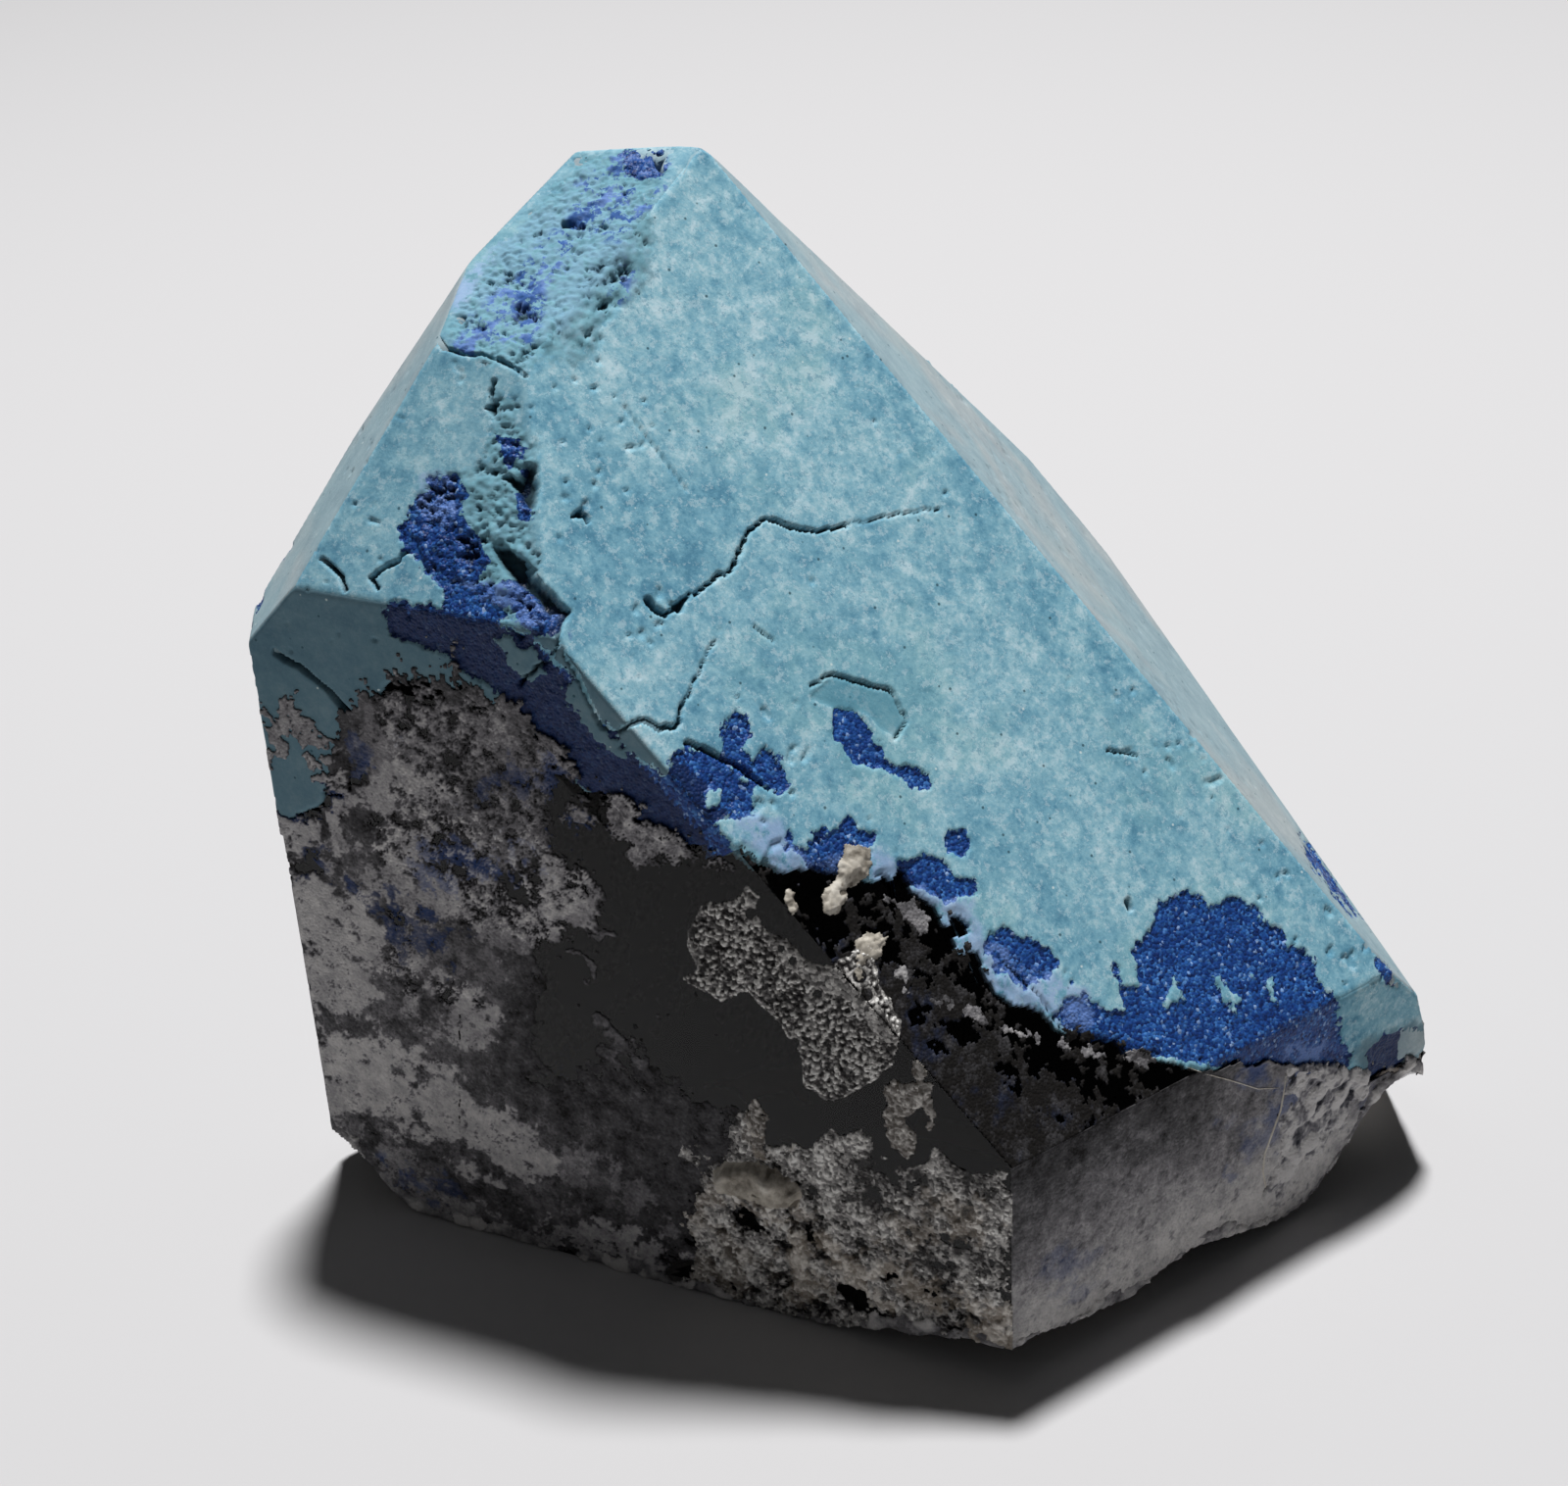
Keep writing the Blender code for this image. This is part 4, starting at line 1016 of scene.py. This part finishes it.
def strip_film(points, pixels):
    """A few dark patches and grey flecks on the bare strip under the crust."""
    cloud, bits = layered(points, 1.6, 181, 6, 0.75), layered(points, 0.4, 186, 4, 0.85)
    bright = np.maximum(flecks(points, 0.4, 188, 0.10), 0.9 * flecks(points, 0.25, 189, 0.06))
    below = -above_edge(points) - 1.3 + 3.5 * cloud
    shade = np.maximum(-0.04 + 0.12 * cloud + 0.15 * np.clip(bits, 0.0, 1.0), 0.26 * np.clip(bright, 0.0, 1.0))
    amount = np.maximum(np.clip(below + 2.0 * bits, -1.0, 0.3), bright - 0.2)
    amount = np.where(above_edge(points) < 0.0, amount, -1.0)
    return amount, 0.3 + 0.8 * shade, shade, 0.15 * rise_between(0.0, 0.3, -cloud)


def broken_rim(points, pixels):
    """Pale chips along the break: a ragged band of facets, tallest where the noise is, lightest at each facet's
    middle; the paleness is partly chipped quartz, partly painted light shining through the thin edge.
    """
    above = points[..., 2] - fracture(points)
    near = 0.45 + 1.5 * layered(points, 1.8, 191, 5, 0.7) - above
    far, chunk = grains(points, 0.7, 193)
    facet = np.clip(1.3 - 1.2 * far, 0.0, 1.0) * (0.4 + 0.7 * chunk)
    return near, 0.2 + facet, 0.40 + 0.55 * facet * (0.6 + chunk), np.zeros(near.shape)


def glassy_corner(points, pixels):
    """The crumpled broken corner at the right: small tilted glassy facets, painted pale and grey by turns as painted
    highlights and painted shade.
    """
    amount = in_any(pixels, (GLASSY_CORNER,)) + 0.8 * layered(points, 0.8, 221, 4, 0.75)
    far, chunk = grains(points, 0.75, 223)
    fine = layered(points, 0.5, 227, 4, 0.8)
    facet = np.clip(1.2 - 1.1 * far, 0.0, 1.0)
    return amount, facet * (0.5 + 0.6 * chunk), 0.45 + 0.75 * chunk + 1.2 * fine, np.full(far.shape, 0.05)


def upper_druse(points, pixels):
    """Sugary grains whose bright tips are painted highlights, lightest at each grain's middle, and smooth grey parts
    along one side with round holes in them.
    """
    wander = 0.22 * layered(points, 0.7, 101, 4, 0.75)
    amount = in_any(pixels, (UPPER_DRUSE,)) + wander
    smooth = rise_between(-0.05, 0.05, in_any(pixels, UPPER_SMOOTH) + 0.5 * wander)
    rim = np.maximum(smooth, 0.5 * rise_between(0.12, 0.05, amount))
    for centre, size in DRUSE_HOLES:
        away = PIXEL * (np.linalg.norm(pixels - centre, axis=-1) - size)
        amount = np.minimum(amount, away)
        rim = np.maximum(rim, rise_between(0.16, 0.08, away))
    depth, owner = grains(points, 0.17, 103)
    tips = np.clip(1.05 - depth * 1.3, 0.0, 1.0) * (0.2 + 1.1 * owner)
    gaps = rise_between(0.20, 0.42, layered(points, 0.8, 107, 4, 0.7))
    height = tips * (1.0 - rim) + 0.55 * rim
    shade = (0.12 + 1.45 * tips * (1.0 - 0.6 * gaps)) * (1.0 - rim) + (0.56 + 0.3 * wander) * rim
    return amount, height, shade, np.zeros(shade.shape)


def lower_druse(points, pixels):
    """Ragged sugary druse full of gaps, with beige chunks toward the broken edge; grains and chunks are painted
    lighter at their middles, a painted highlight.
    """
    ragged = layered(points, 1.3, 121, 6, 0.74)
    broad = layered(points, 4.0, 125, 4, 0.6)
    near = in_any(pixels, (LOWER_DRUSE,))
    gaps = in_any(pixels, LOWER_GAPS)
    amount = np.minimum(np.minimum(near - 0.2, 0.45) + 1.4 * ragged + 1.4 * broad, 0.2 - gaps + 1.6 * ragged)
    beige = 0.7 * ovals(bent_by(points, pixels, 1.2, 50.0, 211), BEIGE, 1.2 * layered(points, 0.8, 131, 5, 0.8), 0.4)
    far, chunk = grains(points, 0.62, 127)
    lump = beige * np.clip(1.25 - 1.3 * far, 0.0, 1.0) * (0.35 + 0.8 * chunk)
    amount = np.maximum(amount, 0.5 * (lump - 0.35))
    depth, owner = grains(points, 0.30, 123)
    tips = np.clip(1.05 - depth * 1.3, 0.0, 1.0) * (0.2 + 1.1 * owner)
    pits = rise_between(0.20, 0.32, layered(points, 0.6, 129, 3, 0.7))
    shade = 0.42 + 0.40 * tips * (0.8 + ragged) + 0.24 * lump + 0.7 * np.clip(ragged, -0.3, 0.2)
    height = 0.3 * tips + 0.4 * ragged + 0.7 * lump - 0.3 * pits
    return amount, height, shade * (1.0 - 0.55 * pits), 0.5 * beige


def spilled_druse(points, pixels):
    """Small bits of druse beside the large patches: grains whose bright tips are painted highlights, inside ragged
    outlines.
    """
    depth, owner = grains(points, 0.2, 143)
    tips = np.clip(1.05 - depth, 0.0, 1.0) * (0.3 + owner)
    amount = in_any(pixels, DRUSE_SPILLS) + 0.4 * layered(points, 0.6, 141, 4, 0.75)
    return amount, 0.3 + 0.6 * tips, 0.30 + 0.4 * tips, np.full(tips.shape, 0.1)


def lumps_of(outlines, ragged, seed):
    """A film's cover of rounded lumps inside the outlines, with an uneven top and edge and a few pinholes."""

    def cover(points, pixels):
        """As deep as the outline says, with a crown that rises as the square root of that depth."""
        amount = in_any(pixels, outlines) + ragged * layered(points, 0.6, seed, 4, 0.75)
        holes = rise_between(0.34, 0.44, layered(points, 0.5, seed + 9, 3, 0.6))
        crown = np.clip(amount / 0.3, 0.0, 1.0) ** 0.5
        top = layered(points, 0.7, seed + 4, 4, 0.6)
        height = crown * (0.8 + 0.4 * top - 0.4 * holes)
        return amount, height, 0.48 + 0.5 * top - 0.5 * holes, np.zeros(top.shape)

    return cover


def white_crack(name, face, pixels, wide, slant):
    """A healed crack in the quartz: a ribbon along picture points on a face, going in at a slant."""
    line = on_face(face, pixels, 0.06)
    along = np.gradient(line, axis=0)
    out = axes_of(face)[2]
    side = np.cross(along, out)
    side /= np.linalg.norm(side, axis=1)[:, None]
    half = wide / 2 * np.sin(np.linspace(0.25, pi - 0.25, len(line)))[:, None]
    inner = line - 0.8 * out + slant * side
    ring = np.stack((line - half * side, line + half * side, inner), axis=1)
    index = np.arange(len(line) * 3).reshape(len(line), 3)
    turned = np.roll(index, -1, axis=1)
    quads = np.stack((index[:-1], turned[:-1], turned[1:], index[1:]), axis=-1).reshape(-1, 4)
    faces = [list(q) for q in quads] + [[int(k) for k in index[0][::-1]], [int(k) for k in index[-1]]]
    piece = put(name, ring.reshape(-1, 3), faces, CREAM, shade=np.full(index.size, 0.7), tint=np.zeros(index.size))
    tidy(piece)
    return belongs(piece, "quartz_crystal")


# The stage


def stage():
    """A square of white paper, a dim room, and one soft window high behind the specimen."""
    mesh = bpy.data.meshes.new("floor")
    half = 0.6
    mesh.from_pydata([(-half, -half, 0), (half, -half, 0), (half, half, 0), (-half, half, 0)], [], [(0, 1, 2, 3)])
    floor = bpy.data.objects.new("floor", mesh)
    bpy.context.scene.collection.objects.link(floor)
    paper = bpy.data.materials.new("matt white paper")
    paper.use_nodes = True
    shader = paper.node_tree.nodes["Principled BSDF"]
    shader.inputs["Base Color"].default_value = linear("#C8C7C8")
    shader.inputs["Roughness"].default_value = 0.9
    mesh.materials.append(paper)

    world = bpy.data.worlds.new("soft room")
    world.use_nodes = True
    world.node_tree.nodes["Background"].inputs["Color"].default_value = linear("#F2F3F5")
    world.node_tree.nodes["Background"].inputs["Strength"].default_value = 0.05
    bpy.context.scene.world = world

    azimuth, height, far = radians(112.0), radians(77.0), 0.5
    toward = np.array((cos(azimuth) * cos(height), sin(azimuth) * cos(height), sin(height)))
    lamp = bpy.data.lights.new("window", "AREA")
    lamp.shape = "DISK"
    lamp.size = 0.065
    lamp.energy = 3.4
    key = bpy.data.objects.new("window", lamp)
    key.location = toward * far + (0.0, 0.0, 0.015)
    key.rotation_euler = (pi / 2 - height, 0.0, azimuth + pi / 2)
    bpy.context.scene.collection.objects.link(key)


def camera():
    """The camera that the picture was taken from, looking along -BACK."""
    data = bpy.data.cameras.new("camera")
    data.sensor_width = SENSOR
    data.lens = FOCAL / PICTURE[0] * SENSOR
    data.clip_start = 0.005
    made = bpy.data.objects.new("camera", data)
    bpy.context.scene.collection.objects.link(made)
    turn = np.eye(4)
    turn[:3, 0], turn[:3, 1], turn[:3, 2] = RIGHT, UP, BACK
    turn[:3, 3] = (AIM + DISTANCE * BACK + SHIFT) * MM
    made.matrix_world = Matrix(turn.tolist())
    bpy.context.scene.camera = made


CRUST = crust_material()
QUARTZ = quartz_material()
# A skin of tiny quartz grains, bright facets with painted highlights beside dark gaps, beige where iron has stained
# it
DRUSE = growth_material(
    "druse of tiny quartz grains",
    ((0.15, "#1D1B1B"), (0.95, "#EFEDE9"), (0.35, "#4A4847"), (0.55, "#888684"), (0.75, "#BFBCB8")),
    0.4, 0.13, 0.45, "#D6C8B6",
)
# Milky haze and clay dust dried on the face: grey where thick, the stone's own dark where thin, bluish in places. On
# the glassy corner and the broken rims its pale tones are painted light
HAZY = growth_material(
    "milky quartz haze with clay dust",
    ((0.0, "#171514"), (1.0, "#CDCAC8"), (0.12, "#353436"), (0.30, "#525153"), (0.50, "#787679"), (0.70, "#A09E9F")),
    0.8, 0.12, 0.12, "#22427A",
)
# Older milky quartz: lumps the colour of cream, with a waxy gloss
CREAM = growth_material(
    "cream milky quartz", ((0.2, "#6F685E"), (1.0, "#E6E2D9"), (0.6, "#BDB6AA")), 0.5, 0.25, 0.12, "#BDB6AA"
)

# Crust sheets: face, cell, whether the photograph shows it, how bleached it is, and how much it is darkened by dust
# and painted shade; on the front prism and the broken shoulder much of the darkening is painted shade
CRUST_SHEETS = (
    ("great slope", 0.09, True, 0.0, 0.0), ("front slope", 0.07, True, 0.0, 0.2),
    ("broken shoulder", 0.06, True, 0.0, 0.35), ("front prism", 0.08, True, 0.0, 1.0),
    ("right slope", 0.13, True, 1.0, 0.0), ("right front prism", 0.10, True, 0.0, 0.0),
    ("broken left end", 0.10, False, 1.0, 0.3), ("broken top", 0.12, False, 0.5, 0.0),
    ("left slope", 0.10, False, 1.0, 0.2), ("blunted back edge", 0.14, False, 0.8, 0.0),
    ("back slope", 0.16, False, 0.5, 0.1), ("right back prism", 0.18, False, 0.5, 0.3),
    ("back prism", 0.20, False, 0.3, 0.3), ("left back prism", 0.20, False, 0.3, 0.5),
    ("left edge prism", 0.12, False, 0.2, 0.7),
)
# Films: name, face, cell, cover, greatest thickness, material and picture region
FILMS = (
    ("haze_left", "front prism", 0.066, front_film, 0.03, HAZY, (255, 640, 471, 1290)),
    ("haze_right", "front prism", 0.066, front_film, 0.03, HAZY, (468, 640, 760, 1330)),
    ("milky_right_edge", "right front prism", 0.09, right_film, 0.03, HAZY, (1000, 1040, 1420, 1400)),
    ("strip_haze", "great slope", 0.08, strip_film, 0.02, HAZY, (700, 850, 1400, 1200)),
    ("left_rim", "front prism", 0.08, broken_rim, 0.16, HAZY, (300, 1120, 1060, 1420)),
    ("right_rim", "right front prism", 0.08, broken_rim, 0.16, HAZY, (1000, 1120, 1460, 1420)),
    ("haze_back_prism", "back prism", 0.15, hidden_haze, 0.06, HAZY, None),
    ("haze_left_back_prism", "left back prism", 0.15, hidden_haze, 0.06, HAZY, None),
    ("haze_right_back_prism", "right back prism", 0.15, hidden_haze, 0.06, HAZY, None),
    ("haze_left_edge_prism", "left edge prism", 0.15, hidden_haze, 0.06, HAZY, None),
    ("glassy_corner", "right front prism", 0.06, glassy_corner, 0.22, HAZY, (1270, 1070, 1430, 1250)),
    ("upper_druse", "front prism", 0.055, upper_druse, 0.22, DRUSE, (690, 890, 930, 1135)),
    ("upper_druse_over_edge", "great slope", 0.055, upper_druse, 0.18, DRUSE, (690, 890, 930, 1135)),
    ("lower_druse", "front prism", 0.06, lower_druse, 0.32, DRUSE, (670, 1110, 1070, 1400)),
    ("druse_spills", "front prism", 0.06, spilled_druse, 0.12, DRUSE, (740, 1070, 980, 1200)),
    ("cream_lumps", "great slope", 0.05, lumps_of(CREAM_LUMPS, 0.35, 151), 0.16, CREAM, (780, 840, 930, 1020)),
    ("crumbs", "great slope", 0.05, lumps_of(CRUMBS, 0.8, 161), 0.03, HAZY, (880, 900, 1200, 1100)),
    ("cream_oval", "front prism", 0.07, lumps_of((CREAM_OVAL,), 0.15, 171), 0.75, CREAM, (710, 1170, 835, 1245)),
)
# Cracks in the right face: name, picture points, width and slant
QUARTZ_CRACKS = (
    ("white_crack", ((1313, 1096), (1310, 1117), (1307, 1133), (1299, 1155), (1291, 1177), (1289, 1195), (1292, 1212),
                     (1297, 1222)), 0.09, 0.3),
    ("pale_hairline", ((1215, 1090), (1232, 1096), (1255, 1102), (1284, 1111), (1305, 1110)), 0.05, 0.2),
)

bpy.context.scene.view_settings.view_transform = "Standard"
camera()
stage()
quartz_body()
for row in CRUST_SHEETS:
    crust_sheet(*row)
for row in FILMS:
    film(*row)
for name, pixels, wide, slant in QUARTZ_CRACKS:
    white_crack(name, "right front prism", pixels, wide, slant)
